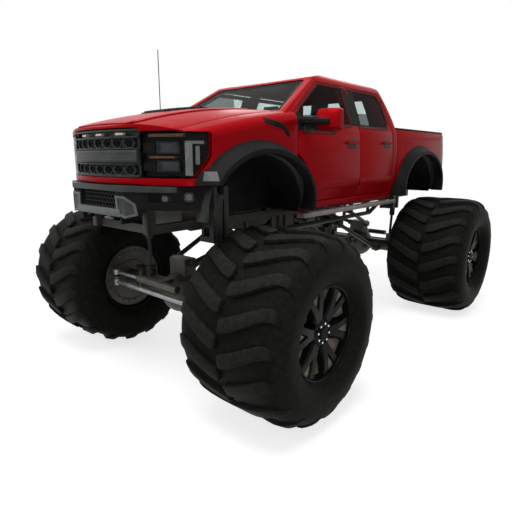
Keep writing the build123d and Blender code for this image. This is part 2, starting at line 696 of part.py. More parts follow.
def build_bed():
    section = body_section(0, 0)
    walls = section - body_section(BED_WALL, 0)
    half = walls & box(BED_BACK_X, BED_FRONT_X, 0, FAR, BED_LOW_Z, BED_RAIL_Z)
    lamp_zone_box = box(BED_BACK_X, BED_BACK_X + TAIL_LAMP_DEPTH, 0, FAR, *TAIL_LAMP_Z)
    bore_end = (GATE_PIN_X, GATE_BORE_END_Y, GATE_PIN_Z)
    bore = tube((GATE_PIN_X, 0, GATE_PIN_Z), bore_end, GATE_PIN_RADIUS + RUNNING_FIT)
    side = half - lamp_zone_box - REAR_ARCH - bore
    keep("bed_sides", *pair(side))
    keep("tail_lamps", *pair(half & lamp_zone_box))
    inside = body_section(BED_WALL, 0)
    floor_end = BED_BACK_X + GATE_WALL + BED_FLOOR_GAP
    floor = inside & box(floor_end, BED_FRONT_X, -FAR, FAR, BED_FLOOR_Z, BED_FLOOR_Z + BED_FLOOR_WALL)
    front = inside & box(BED_FRONT_X - BED_WALL, BED_FRONT_X, -FAR, FAR, BED_LOW_Z, BED_RAIL_Z)
    tub = floor.fuse(front) - REAR_ARCH - across(REAR_ARCH)
    keep("bed_tub", tub)
    gate_section = body_section(BED_WALL + PANEL_GAP, 0)
    gate_back = BED_BACK_X + GATE_WALL
    gate = gate_section & box(BED_BACK_X, gate_back, -FAR, FAR, BED_FLOOR_Z, BED_RAIL_Z - GATE_DROP)
    pin = tube((GATE_PIN_X, 0, GATE_PIN_Z), (GATE_PIN_X, GATE_PIN_END_Y, GATE_PIN_Z), GATE_PIN_RADIUS)
    keep("tailgate", gate.fuse(pin, across(pin)))


# Bumpers, running boards, mirrors, antenna
BUMPER_FRONT_X = HALF_LENGTH - 10
BUMPER_DEPTH = 170
BUMPER_CHIN = 55
BUMPER_OUTER = [(0, 430), (170, 770), (480, 1010)]
BUMPER_INNER = [(480, 880), (300, 700), (BUMPER_DEPTH, RAIL_OUT_Y + 15)]
CHIN_CORNERS = [(0, 430), (80, 560), (BUMPER_DEPTH, 430)]
SKID_CORNERS = [(120, 0), (460, -150), (460, -165), (100, -15), (90, 0)]
SKID_HALF_WIDTH = RAIL_IN_Y - 110
MESH_HALF_WIDTH = 290
MESH_DEPTH = 60
LOOP_CORNERS = [(300, 1955), (430, 1955), (530, 1890), (545, 1800), (430, 1768), (312, 1795)]
LOOP_CENTRE = (425, 1860)
LOOP_INNER_SHARE = 0.78
LOOP_INSET = 8
TRIM_PROUD = HALF_LENGTH - BUMPER_FRONT_X
TRIM_DEPTH = 40
LIP_Z = 1992
LIP_HALF_WIDTH = 825
LOW_BAR_Z = (1775, 1842)
LOW_BAR_HALF_WIDTH = 360
FOG_POCKET_Y = (625, 850)
FOG_POCKET_Z = (BUMPER_Z + 120, BUMPER_TOP_Z - 45)
FOG_POCKET_DEPTH = 30
TOW_EYE_Y = 330
TOW_EYE_RADIUS = 22
TOW_EYE_WIDTH = 26
TOW_EYE_HEIGHT = 80
TOW_EYE_SETBACK = 80
TOW_EYE_HALF_LENGTH = 60
REAR_BUMPER_Z = 1775
REAR_BUMPER_GAP = 28
REAR_BUMPER_HALF_WIDTH = 930
REAR_BUMPER_CLEARANCE = 10
HITCH_PIN_RADIUS = 8
HITCH_PIN_SETBACK = 65
HITCH_SIZE = 76
HITCH_SOCKET = 51
HITCH_END_WALL = 10


def set_back(corners):
    half = [(BUMPER_FRONT_X - back, y) for back, y in corners]
    return half + [(x, -y) for x, y in reversed(half)]


def tow_eye(y):
    half = TOW_EYE_WIDTH / 2
    x = BUMPER_FRONT_X - TOW_EYE_SETBACK
    z = BUMPER_Z - TOW_EYE_HEIGHT / 2
    ends = (x - TOW_EYE_HALF_LENGTH, x + TOW_EYE_HALF_LENGTH)
    plate = box(*ends, y - half, y + half, BUMPER_Z - TOW_EYE_HEIGHT, BUMPER_Z)
    return plate - tube((x, y - TOW_EYE_WIDTH, z), (x, y + TOW_EYE_WIDTH, z), TOW_EYE_RADIUS)


def skid_loop(share):
    mid_y, mid_z = LOOP_CENTRE
    corners = [(mid_y + (y - mid_y) * share, mid_z + (z - mid_z) * share) for y, z in LOOP_CORNERS]
    return front_prism(corners, 0, FAR / 2)


def build_bumpers():
    chin_z = BUMPER_Z + BUMPER_CHIN
    bumper = plan_prism(set_back(BUMPER_OUTER + BUMPER_INNER), chin_z, BUMPER_TOP_Z)
    bumper = bumper.fuse(plan_prism(set_back(CHIN_CORNERS), BUMPER_Z, chin_z))
    block = plan_prism(set_back(BUMPER_OUTER), chin_z, BUMPER_TOP_Z)
    tall = plan_prism(set_back(BUMPER_OUTER), LOW_BAR_Z[0] - TRIM_DEPTH, BUMPER_TOP_Z)
    trim = Pos(TRIM_PROUD, 0, 0) * tall - Pos(-TRIM_DEPTH, 0, 0) * tall
    front = block - Pos(-FOG_POCKET_DEPTH, 0, 0) * block
    fog_pocket = front & box(0, FAR, *FOG_POCKET_Y, *FOG_POCKET_Z)
    mesh_back = BUMPER_FRONT_X - MESH_DEPTH
    mesh = box(mesh_back, FAR, -MESH_HALF_WIDTH, MESH_HALF_WIDTH, chin_z + 5, BUMPER_TOP_Z - 50)
    lip = trim & box(0, FAR, -LIP_HALF_WIDTH, LIP_HALF_WIDTH, LIP_Z, BUMPER_TOP_Z)
    low_bar = trim & box(0, FAR, -LOW_BAR_HALF_WIDTH, LOW_BAR_HALF_WIDTH, *LOW_BAR_Z)
    pieces = [lip, low_bar]
    face = Pos(TRIM_PROUD, 0, 0) * tall - Pos(TRIM_PROUD - LOOP_INSET, 0, 0) * tall
    pieces.extend(pair((trim & skid_loop(1)) - (face & skid_loop(LOOP_INNER_SHARE))))
    for sign in (-1, 1):
        pieces.append(tow_eye(sign * TOW_EYE_Y))
    plate = [(BUMPER_FRONT_X - back, BUMPER_Z + rise) for back, rise in SKID_CORNERS]
    pieces.append(side_prism(plate, -SKID_HALF_WIDTH, SKID_HALF_WIDTH))
    keep("front_bumper", (bumper - mesh - fog_pocket - across(fog_pocket)).fuse(*pieces))
    rear_x = BED_BACK_X - REAR_BUMPER_CLEARANCE
    half_width = REAR_BUMPER_HALF_WIDTH
    rear = box(-HALF_LENGTH, rear_x, -half_width, half_width, REAR_BUMPER_Z, BED_FLOOR_Z - REAR_BUMPER_GAP)
    hitch_end = BED_BACK_X + TAIL_OVERHANG
    hitch_low_z = REAR_BUMPER_Z - HITCH_SIZE
    hitch = box(-HALF_LENGTH, hitch_end, -HITCH_SIZE / 2, HITCH_SIZE / 2, hitch_low_z, REAR_BUMPER_Z)
    socket_z = REAR_BUMPER_Z - HITCH_SIZE / 2
    half = HITCH_SOCKET / 2
    socket = box(-FAR, hitch_end - HITCH_END_WALL, -half, half, socket_z - half, socket_z + half)
    pin_x = -HALF_LENGTH + HITCH_PIN_SETBACK
    bore = tube((pin_x, -HITCH_SIZE, socket_z), (pin_x, HITCH_SIZE, socket_z), HITCH_PIN_RADIUS)
    keep("rear_bumper", rear.fuse(hitch) - socket - bore)


BOARD_HALF_LENGTH = station(0.1903)
BOARD_Y = (905, 1010)
BOARD_Z = (RAIL_TUBE_Z, RAIL_TUBE_Z + 48)
BOARD_BRACKETS = [station(share) for share in (-0.1298, 0, 0.1298)]
BRACKET_HALF_WIDTH = 30
BRACKET_WALL = 25
MIRROR_ARM_X = (CAB_FRONT_X - 185, CAB_FRONT_X - 45)
MIRROR_ARM_ROOT_X = CAB_FRONT_X - 125
MIRROR_ARM_Z = (BELT_Z, BELT_Z + 55)
MIRROR_ARM_END_Y = 1140
MIRROR_HEAD_X = (CAB_FRONT_X - 270, CAB_FRONT_X - 135)
MIRROR_HEAD_Y = (1120, 1362)
MIRROR_HEAD_Z = (BELT_Z - 72, BELT_Z + 148)
MIRROR_ROUNDING = 30
ANTENNA_X = COWL_X + 74
ANTENNA_Y = -900
ANTENNA_FOOT_RADIUS = 18
ANTENNA_RADIUS = 5


def build_trim():
    board = box(-BOARD_HALF_LENGTH, BOARD_HALF_LENGTH, *BOARD_Y, *BOARD_Z)
    low_z = BOARD_Z[0]
    arms = []
    for x in BOARD_BRACKETS:
        half = BRACKET_HALF_WIDTH
        arms.append(box(x - half, x + half, RAIL_OUT_Y, BOARD_Y[0], low_z, low_z + BRACKET_WALL))
    keep("running_boards", *pair(board.fuse(*arms)))
    arm = box(MIRROR_ARM_ROOT_X, MIRROR_ARM_X[1], BELT_Y - SIDE_WALL, MIRROR_ARM_END_Y, *MIRROR_ARM_Z)
    elbow = box(MIRROR_ARM_X[0], MIRROR_ARM_ROOT_X, MIRROR_HEAD_Y[0] - 10, MIRROR_ARM_END_Y, *MIRROR_ARM_Z)
    block = box(*MIRROR_HEAD_X, *MIRROR_HEAD_Y, *MIRROR_HEAD_Z)
    head = fillet(block.edges().filter_by(Axis.Y), MIRROR_ROUNDING)
    for side, shape in zip(("left", "right"), pair(arm.fuse(elbow, head) - CAB_OUTER)):
        keep(f"mirror_{side}", shape)
    low_z = COWL_Z - 100
    foot = tube((ANTENNA_X, ANTENNA_Y, low_z), (ANTENNA_X, ANTENNA_Y, COWL_Z + 40), ANTENNA_FOOT_RADIUS)
    rod = tube((ANTENNA_X, ANTENNA_Y, COWL_Z), (ANTENNA_X, ANTENNA_Y, ANTENNA_TOP_Z), ANTENNA_RADIUS)
    keep("antenna", foot.fuse(rod) - FRONT_OUTER)


# Cab interior: heights stand on the floor, lengths run back from the dashboard wall
DASH_BACK_X = CAB_FRONT_X - FRONT_WALL
DASH_HALF_WIDTH = 760
DASH_CORNERS = [(0, 380), (175, 460), (225, 600), (175, 720), (0, 740)]
DRIVER_Y = 380
COLUMN_RADIUS = 32
COLUMN_ENDS = [(165, 570), (355, 630)]
HANDWHEEL_RADIUS = 185
HANDWHEEL_GRIP = 16
HANDWHEEL_SPOKE = (350, 50, 20)
SEAT_Y = 400
SEAT_HALF_WIDTH = 255
SEAT_BACK_HALF_WIDTH = 245
SEAT_BASE_HALF_WIDTH = 200
HEADREST_HALF_WIDTH = 125
CUSHION_Z = (250, 385)
SEAT_BACK_X = DOOR_SPLIT_X + 140
SEAT_BACK_CORNERS = [(30, 320), (-100, 320), (-190, 980), (-90, 1000)]
HEADREST_Z = (980, 1150)
BENCH_FRONT_X = DOOR_SPLIT_X - 310
BENCH_HALF_WIDTH = 690
BENCH_TOP = 380
BENCH_BACK_CORNERS = [(120, 350), (0, 350), (0, 900), (60, 900)]
BENCH_GAP = 60
BENCH_HEAD_Y = 430
BENCH_HEAD_Z = (890, 1050)


def on_floor(corners, x):
    return [(x + along, FLOOR_TOP_Z + rise) for along, rise in corners]


def build_dashboard():
    corners = [(DASH_BACK_X - back, FLOOR_TOP_Z + rise) for back, rise in DASH_CORNERS]
    dash = side_prism(corners, -DASH_HALF_WIDTH, DASH_HALF_WIDTH)
    ends = [(DASH_BACK_X - back, DRIVER_Y, FLOOR_TOP_Z + rise) for back, rise in COLUMN_ENDS]
    plane = Plane(origin=ends[1], z_dir=Vector(*ends[1]) - Vector(*ends[0]))
    grip = plane * Torus(HANDWHEEL_RADIUS, HANDWHEEL_GRIP)
    spoke = plane * Box(*HANDWHEEL_SPOKE)
    keep("dashboard", dash.fuse(tube(*ends, COLUMN_RADIUS), grip, spoke))


def front_seat(y):
    low_z, high_z = [FLOOR_TOP_Z + rise for rise in CUSHION_Z]
    front_x = SEAT_BACK_X + 540
    half = SEAT_BASE_HALF_WIDTH
    foot = box(SEAT_BACK_X + 100, front_x - 60, y - half, y + half, FLOOR_TOP_Z, low_z + 10)
    cushion = box(SEAT_BACK_X, front_x, y - SEAT_HALF_WIDTH, y + SEAT_HALF_WIDTH, low_z, high_z)
    half = SEAT_BACK_HALF_WIDTH
    back = side_prism(on_floor(SEAT_BACK_CORNERS, SEAT_BACK_X), y - half, y + half)
    half = HEADREST_HALF_WIDTH
    head_z = [FLOOR_TOP_Z + rise for rise in HEADREST_Z]
    head = box(SEAT_BACK_X - 180, SEAT_BACK_X - 90, y - half, y + half, *head_z)
    return fused([foot, cushion, back, head])


def rear_bench():
    back_x = CAB_BACK_X + BACK_WALL + BENCH_GAP
    width = BENCH_HALF_WIDTH
    pieces = [box(back_x, BENCH_FRONT_X, -width, width, FLOOR_TOP_Z, FLOOR_TOP_Z + BENCH_TOP)]
    pieces.append(side_prism(on_floor(BENCH_BACK_CORNERS, back_x), -width, width))
    head_z = [FLOOR_TOP_Z + rise for rise in BENCH_HEAD_Z]
    for y in (-BENCH_HEAD_Y, BENCH_HEAD_Y):
        half = HEADREST_HALF_WIDTH
        pieces.append(box(back_x, back_x + 70, y - half, y + half, *head_z))
    return fused(pieces)


def build_interior():
    build_dashboard()
    keep("seats", front_seat(-SEAT_Y), front_seat(SEAT_Y), rear_bench())


# Frame: main rails, lower rails with struts, shock towers, body mounts
FRAME_CROSS_X = (-RAIL_TUBE_END_X + 35, BED_FRONT_X - 190, RAIL_TUBE_END_X - 35)
FRAME_STRUT_X = [share * LOWER_TUBE_END_X for share in (-0.965, -0.48, 0, 0.48, 0.965)]
BED_MOUNT_X = (BED_BACK_X + 290, BED_FRONT_X - 190)
CAB_MOUNT_X = (CAB_BACK_X + 190, DOOR_SPLIT_X + 20, CAB_FRONT_X - 195)
MOUNT_HALF_LENGTH = 45
CROSS_HALF_LENGTH = 35
STRUT_RADIUS = TUBE_RADIUS - 6
CASE_LOW_Z = 1330
CASE_BEAM_X = (AXLE_X - 1585, AXLE_X - 1525)
CASE_BEAM_HEIGHT = 40
CASE_HANGER_WALL = 30
LINK_TAB_Y = 405
LINK_TAB_WALL = 25
LINK_TAB_HALF = 45
# Columns: distance from the axle, height
LINK_TABS = [(1315, 1330), (1055, 1500)]
HORN_X = (RAIL_TUBE_END_X - 40, RAIL_TUBE_END_X + 50)
HORN_ARM_Z = (1850, 1950)
REAR_HORN_TOP_Z = 1900
POST_ARM_INSET = 10
GUSSET_LAP = 80


def tower(x):
    pieces = []
    half = POST_WIDTH / 2
    for post_x in (x - POST_SPACING / 2, x + POST_SPACING / 2):
        ends = (post_x - half, post_x + half)
        pieces.append(box(*ends, TOWER_Y - half, TOWER_Y + half, POST_LOW_Z, POST_TOP_Z))
        arm_z = (RAIL_LOW_Z + POST_ARM_INSET, RAIL_TOP_Z - POST_ARM_INSET)
        pieces.append(box(*ends, RAIL_TUBE_Y, TOWER_Y, *arm_z))
        pieces.append(box(*ends, RAIL_TUBE_Y, TOWER_Y, POST_LOW_Z, POST_LOW_Z + POST_WIDTH))
    low_x, high_x = sorted((x, x - POST_SPACING / 2 if x > 0 else x + POST_SPACING / 2))
    gusset = box(low_x - GUSSET_LAP, high_x + GUSSET_LAP, RAIL_TUBE_Y, RAIL_OUT_Y, POST_LOW_Z, RAIL_TUBE_Z)
    return pieces + [gusset]


def rail_tube(start_x, start_z, end_x, end_z, radius):
    return tube((start_x, RAIL_TUBE_Y, start_z), (end_x, RAIL_TUBE_Y, end_z), radius)


def rail_post(x, low_z, high_z):
    return box(x - MOUNT_HALF_LENGTH, x + MOUNT_HALF_LENGTH, RAIL_IN_Y, RAIL_OUT_Y, low_z, high_z)


def build_frame():
    end_x = LOWER_TUBE_END_X
    half_frame = [
        box(-RAIL_TUBE_END_X, RAIL_TUBE_END_X, RAIL_IN_Y, RAIL_OUT_Y, RAIL_LOW_Z, RAIL_TOP_Z),
        rail_tube(-end_x, LOWER_TUBE_Z, end_x, LOWER_TUBE_Z, TUBE_RADIUS),
    ]
    for x in FRAME_STRUT_X:
        half_frame.append(rail_tube(x, LOWER_TUBE_Z, x, RAIL_TUBE_Z, STRUT_RADIUS))
    for sign in (-1, 1):
        axle_x = sign * AXLE_X
        half_frame.extend(tower(axle_x))
        half_frame.append(rail_tube(sign * end_x, LOWER_TUBE_Z, axle_x, RAIL_TUBE_Z, TUBE_RADIUS))
        for back, z in LINK_TABS:
            x = sign * (AXLE_X - back)
            top_z = LOWER_TUBE_Z if z < LOWER_TUBE_Z else RAIL_TUBE_Z
            ends = (x - LINK_TAB_HALF, x + LINK_TAB_HALF)
            half_frame.append(box(*ends, LINK_TAB_Y, LINK_TAB_Y + LINK_TAB_WALL, z - LINK_TAB_HALF, top_z))
    half_frame.extend([rail_post(x, RAIL_TUBE_Z, FLOOR_LOW_Z) for x in CAB_MOUNT_X])
    half_frame.extend([rail_post(x, RAIL_TUBE_Z, BED_FLOOR_Z) for x in BED_MOUNT_X])
    half_frame.append(box(*HORN_X, RAIL_IN_Y, RAIL_OUT_Y, RAIL_LOW_Z, BUMPER_TOP_Z + PANEL_GAP))
    half_frame.append(box(HORN_X[0], BUMPER_FRONT_X - BUMPER_DEPTH, RAIL_IN_Y, RAIL_OUT_Y, *HORN_ARM_Z))
    rear_end = BED_BACK_X - REAR_BUMPER_CLEARANCE
    half_frame.append(box(rear_end, -HORN_X[0], RAIL_IN_Y, RAIL_OUT_Y, RAIL_LOW_Z, REAR_HORN_TOP_Z))
    beam_low_z = CASE_LOW_Z - CASE_BEAM_HEIGHT
    hanger_y = (RAIL_TUBE_Y - CASE_HANGER_WALL, RAIL_TUBE_Y)
    half_frame.append(box(*CASE_BEAM_X, *hanger_y, beam_low_z, LOWER_TUBE_Z))
    half = fused(half_frame)
    crosses = []
    for x in FRAME_CROSS_X:
        ends = (x - CROSS_HALF_LENGTH, x + CROSS_HALF_LENGTH)
        crosses.append(box(*ends, -RAIL_TUBE_Y, RAIL_TUBE_Y, RAIL_LOW_Z, RAIL_TOP_Z))
    crosses.append(box(*CASE_BEAM_X, -RAIL_TUBE_Y, RAIL_TUBE_Y, beam_low_z, CASE_LOW_Z))
    keep("frame", half.fuse(across(half), *crosses))


# Engine, gearbox and shafts
PINION_X = AXLE_X - 380
PINION_Z = AXLE_Z + 62
YOKE_BALL = 70
ENGINE_X = (AXLE_X - 555, AXLE_X + 195)
ENGINE_HALF_WIDTH = 270
ENGINE_Z = (1560, 2200)
ENGINE_ARM_X = (AXLE_X - 255, AXLE_X - 155)
GEARBOX_HALF_WIDTH = 160
GEARBOX_Z = (1460, 1715)
CASE_X = (AXLE_X - 1705, AXLE_X - 1405)
CASE_HALF_WIDTH = 230
CASE_TOP_Z = 1700
SHAFT_RADIUS = 45
SHAFT_Z = CASE_LOW_Z + 75
SHAFT_LAP = 10


def build_driveline():
    engine = box(*ENGINE_X, -ENGINE_HALF_WIDTH, ENGINE_HALF_WIDTH, *ENGINE_Z)
    arms = box(*ENGINE_ARM_X, -RAIL_IN_Y, RAIL_IN_Y, RAIL_TUBE_Z - 30, RAIL_TUBE_Z + 30)
    keep("engine", engine.fuse(arms))
    gearbox = box(CASE_X[1], ENGINE_X[0], -GEARBOX_HALF_WIDTH, GEARBOX_HALF_WIDTH, *GEARBOX_Z)
    pieces = [gearbox, box(*CASE_X, -CASE_HALF_WIDTH, CASE_HALF_WIDTH, CASE_LOW_Z, CASE_TOP_Z)]
    for sign, start_x in ((1, CASE_X[1] - SHAFT_LAP), (-1, CASE_X[0] + SHAFT_LAP)):
        ball_x = sign * (PINION_X - YOKE_BALL - FIT)
        pieces.append(tube((start_x, 0, SHAFT_Z), (ball_x, 0, PINION_Z), SHAFT_RADIUS))
        pieces.append(Pos(ball_x, 0, PINION_Z) * Sphere(YOKE_BALL))
    keep("driveline", fused(pieces))


# Axles, with links and shocks
LINK_EYE_RADIUS = 42
LINK_EYE_WIDTH = 60
AXLE_END_Y = KINGPIN_Y - 80
YOKE_WALL = 40
YOKE_HALF_LENGTH = 60
RAM_X = AXLE_X + STEER_ARM
RAM_Z = AXLE_Z + 147
RAM_HALF_LENGTH = 330
RAM_END_WALL = 40
RAM_BRACKET_HALF_WIDTH = 45
RAM_BRACKET_HALF_HEIGHT = 25
LOWER_LINK = (150, -40)
UPPER_LINK = (30, 330)
LINK_TOWER_X = (-95, 60)
LINK_TOWER_HALF_WIDTH = 125
LINK_TOWER_HEIGHT = 372
PINION_RADIUS = 78
SHOCK_LOW_Y = KINGPIN_Y - 210
SHOCK_LOW_Z = AXLE_Z + 172
SHOCK_EYE = 36
SHOCK_TAB_X = (-55, 40)
SHOCK_TAB_WALL = 15
SHOCK_ROD_RADIUS = 20
SHOCK_ROD_SHARE = 0.38


def eye(centre, radius, width):
    x, y, z = centre
    return tube((x, y - width / 2, z), (x, y + width / 2, z), radius)


def upright(x, y, low_z, high_z, radius):
    return tube((x, y, low_z), (x, y, high_z), radius)


def axle_yoke():
    half = YOKE_HEIGHT / 2
    ends = (AXLE_X - YOKE_HALF_LENGTH, AXLE_X + YOKE_HALF_LENGTH)
    inner_y = AXLE_END_Y - YOKE_WALL
    pieces = [box(*ends, inner_y, AXLE_END_Y, AXLE_Z - half, AXLE_Z + half)]
    for low_z in (AXLE_Z - half, AXLE_Z + half - YOKE_LUG):
        pieces.append(box(*ends, inner_y, KINGPIN_Y, low_z, low_z + YOKE_LUG))
        pieces.append(upright(AXLE_X, KINGPIN_Y, low_z, low_z + YOKE_LUG, YOKE_HALF_LENGTH))
    return fused(pieces) - upright(AXLE_X, KINGPIN_Y, 0, TOP, KINGPIN_RADIUS + RUNNING_FIT)


def axle_housing():
    half = [axle_yoke()]
    half.append(tube((AXLE_X, 0, AXLE_Z), (AXLE_X, AXLE_END_Y - YOKE_WALL / 2, AXLE_Z), AXLE_TUBE_RADIUS))
    back, rise = LOWER_LINK
    tab_ends = (AXLE_X - back - LINK_TAB_HALF, AXLE_X)
    tab_z = AXLE_Z + rise
    half.append(box(*tab_ends, LINK_TAB_Y, LINK_TAB_Y + LINK_TAB_WALL, tab_z - LINK_TAB_HALF, AXLE_Z + 20))
    for offset in SHOCK_TAB_X:
        x = AXLE_X + offset
        tab_y = (SHOCK_LOW_Y - SHOCK_EYE - 2, SHOCK_LOW_Y + SHOCK_EYE + 4)
        half.append(box(x, x + SHOCK_TAB_WALL, *tab_y, AXLE_Z, SHOCK_LOW_Z + SHOCK_EYE))
    side = fused(half)
    tower_x = [AXLE_X + offset for offset in LINK_TOWER_X]
    tower_y = (-LINK_TOWER_HALF_WIDTH, LINK_TOWER_HALF_WIDTH)
    bracket_y = (-RAM_BRACKET_HALF_WIDTH, RAM_BRACKET_HALF_WIDTH)
    bracket_z = (RAM_Z - RAM_BRACKET_HALF_HEIGHT, RAM_Z + RAM_BRACKET_HALF_HEIGHT)
    middle = [
        Pos(AXLE_X, 0, AXLE_Z) * Sphere(DIFF_RADIUS),
        tube((AXLE_X, 0, PINION_Z), (PINION_X, 0, PINION_Z), PINION_RADIUS),
        box(*tower_x, *tower_y, AXLE_Z, AXLE_Z + LINK_TOWER_HEIGHT),
        box(tower_x[1], RAM_X, *bracket_y, *bracket_z),
        tube((RAM_X, -RAM_HALF_LENGTH, RAM_Z), (RAM_X, RAM_HALF_LENGTH, RAM_Z), RAM_RADIUS),
    ]
    bore_end = (RAM_X, RAM_HALF_LENGTH - RAM_END_WALL, RAM_Z)
    bore = tube((RAM_X, -FAR, RAM_Z), bore_end, RAM_ROD_RADIUS + RUNNING_FIT)
    return side.fuse(across(side), *middle) - bore


def link(start, end):
    ends = [eye(centre, LINK_EYE_RADIUS, LINK_EYE_WIDTH) for centre in (start, end)]
    return fused([tube(start, end, LINK_RADIUS)] + ends)


def axle_links():
    inner_y = LINK_TAB_Y - LINK_EYE_WIDTH / 2
    tower_y = LINK_TOWER_HALF_WIDTH + LINK_EYE_WIDTH / 2
    links = []
    for (back, rise), axle_y, (frame_back, frame_z) in zip(
        (LOWER_LINK, UPPER_LINK), (inner_y, tower_y), LINK_TABS
    ):
        start = (AXLE_X - back, axle_y, AXLE_Z + rise)
        links.extend(pair(link(start, (AXLE_X - frame_back, inner_y, frame_z))))
    return links


def shock():
    lower = Vector(AXLE_X, SHOCK_LOW_Y, SHOCK_LOW_Z)
    upper = Vector(AXLE_X, TOWER_Y, SHOCK_TOP_Z)
    middle = lower + (upper - lower) * SHOCK_ROD_SHARE
    pieces = [tube(tuple(lower), tuple(upper), SHOCK_ROD_RADIUS)]
    pieces.append(tube(tuple(middle), tuple(upper), SHOCK_RADIUS))
    for centre, half in ((lower, SHOCK_TAB_X[1]), (upper, (POST_SPACING - POST_WIDTH) / 2)):
        across_x = Vector(half, 0, 0)
        pieces.append(tube(tuple(centre - across_x), tuple(centre + across_x), SHOCK_EYE))
    return fused(pieces)


# Knuckles and steering rods
CORE_RADIUS = 55
CORE_GAP = 6
ARM_Z = AXLE_Z + 67
ARM_THICK = 30
ARM_HALF_WIDTH = 30
TIE_ROD_Z = ARM_Z - 38
TIE_EYE_HALF_HEIGHT = 32
RAM_EYE_HALF_HEIGHT = 28
RAM_ROD_END_Y = 110
ARM_PIN_RADIUS = 15
ARM_PIN_LAP = 34
ARM_EYE_RADIUS = 38
SPINDLE_END_Y = WHEEL_Y + 200


def knuckle():
    half = YOKE_HEIGHT / 2
    core_half = half - YOKE_LUG - CORE_GAP
    pieces = [
        upright(AXLE_X, KINGPIN_Y, AXLE_Z - core_half, AXLE_Z + core_half, CORE_RADIUS),
        upright(AXLE_X, KINGPIN_Y, AXLE_Z - half, AXLE_Z + half, KINGPIN_RADIUS),
        tube((AXLE_X, KINGPIN_Y, AXLE_Z), (AXLE_X, SPINDLE_END_Y, AXLE_Z), SPINDLE_RADIUS),
    ]
    arm_y = (KINGPIN_Y - ARM_HALF_WIDTH, KINGPIN_Y + ARM_HALF_WIDTH)
    pieces.append(box(AXLE_X, RAM_X, *arm_y, ARM_Z, ARM_Z + ARM_THICK))
    pieces.append(upright(RAM_X, KINGPIN_Y, ARM_Z, ARM_Z + ARM_THICK, ARM_EYE_RADIUS))
    pieces.append(upright(RAM_X, KINGPIN_Y, TIE_ROD_Z - ARM_PIN_LAP, ARM_Z, ARM_PIN_RADIUS))
    return fused(pieces)


def tie_rod():
    rod = tube((RAM_X, -KINGPIN_Y, TIE_ROD_Z), (RAM_X, KINGPIN_Y, TIE_ROD_Z), TIE_ROD_RADIUS)
    ends = []
    holes = []
    for y in (-KINGPIN_Y, KINGPIN_Y):
        low_z, high_z = TIE_ROD_Z - TIE_EYE_HALF_HEIGHT, TIE_ROD_Z + TIE_EYE_HALF_HEIGHT
        ends.append(upright(RAM_X, y, low_z, high_z, ARM_EYE_RADIUS))
        holes.append(upright(RAM_X, y, 0, TOP, ARM_PIN_RADIUS + RUNNING_FIT))
    return rod.fuse(*ends) - fused(holes)


def ram_rod():
    end_y = -KINGPIN_Y
    rod = tube((RAM_X, end_y, RAM_Z), (RAM_X, RAM_ROD_END_Y, RAM_Z), RAM_ROD_RADIUS)
    low_z, high_z = RAM_Z - RAM_EYE_HALF_HEIGHT, RAM_Z + RAM_EYE_HALF_HEIGHT
    end = upright(RAM_X, end_y, low_z, high_z, ARM_EYE_RADIUS)
    return rod.fuse(end) - upright(RAM_X, end_y, 0, TOP, ARM_PIN_RADIUS + FIT)


# Wheels
def ring(y0, y1, inner, outer):
    blank = tube((AXLE_X, y0, AXLE_Z), (AXLE_X, y1, AXLE_Z), outer)
    return blank - tube((AXLE_X, y0 - 1, AXLE_Z), (AXLE_X, y1 + 1, AXLE_Z), inner)


SPOKE_Y = (WHEEL_Y + RIM_WIDTH / 2 - 95, WHEEL_Y + RIM_WIDTH / 2 - 15)
SPOKE_WIDTH = 84
SPOKE_SPREAD = 13
SPOKE_LAP = 30
DISC_SETBACK = 40
DISC_WALL = 35
DISC_LAP = 5
CAP_GAP = 20


def rim():
    half = RIM_WIDTH / 2
    outer = BEAD_RADIUS - FIT
    inner = outer - RIM_WALL
    low_y, high_y = WHEEL_Y - half, WHEEL_Y + half
    pieces = [ring(low_y, high_y, inner, outer)]
    for y in (low_y, high_y - RIM_FLANGE):
        pieces.append(ring(y, y + RIM_FLANGE, inner, outer + RIM_FLANGE))
    bore = SPINDLE_RADIUS + RUNNING_FIT
    disc_y = low_y + DISC_SETBACK
    pieces.append(ring(disc_y, SPOKE_Y[1], bore, HUB_RADIUS))
    pieces.append(ring(disc_y, disc_y + DISC_WALL, bore, outer - DISC_LAP))
    length = outer - DISC_LAP - HUB_RADIUS + SPOKE_LAP
    bar = Box(length, SPOKE_Y[1] - SPOKE_Y[0], SPOKE_WIDTH)
    bar = Pos(HUB_RADIUS - SPOKE_LAP + length / 2, 0, 0) * bar
    middle = (SPOKE_Y[0] + SPOKE_Y[1]) / 2
    for index in range(SPOKES):
        for side in (-1, 1):
            angle = 360 / SPOKES * index + side * SPOKE_SPREAD
            pieces.append(Pos(AXLE_X, middle, AXLE_Z) * (Rot(0, angle, 0) * bar))
    cap_y = SPINDLE_END_Y + CAP_GAP
    pieces.append(tube((AXLE_X, cap_y, AXLE_Z), (AXLE_X, SPOKE_Y[1], AXLE_Z), HUB_RADIUS - DISC_LAP))
    return fused(pieces)


# Tyres: closed shells of flat faces, with two staggered rows of lugs that lean to a V
LUGS = 18
LUG_PITCH = 2 * pi / LUGS
LUG_FOOT_WIDER = 8
# Lug stations from the middle out: share of half width, drop of the tip, turn in degrees, half width
LUG_STATIONS = [(0.05, 0, 0, 50), (0.6, 8, 9, 46), (0.93, 80, 14, 42)]
# One lug's edge stands straight below the axle
LUG_PHASE = LUG_STATIONS[0][3] / TYRE_RADIUS - pi / 2
CROWN_RADIUS = TYRE_RADIUS - LUG_HEIGHT
FLAT_TO_CORNER = 1 / cos(LUG_PITCH / 2)
# Sidewall from the shoulder down: share of half width, share of the height from bead to crown
SIDEWALL = [(1.0, 0.5), (0.955, 0.22)]
INNER_SHOULDER = (0.72, 0.72)


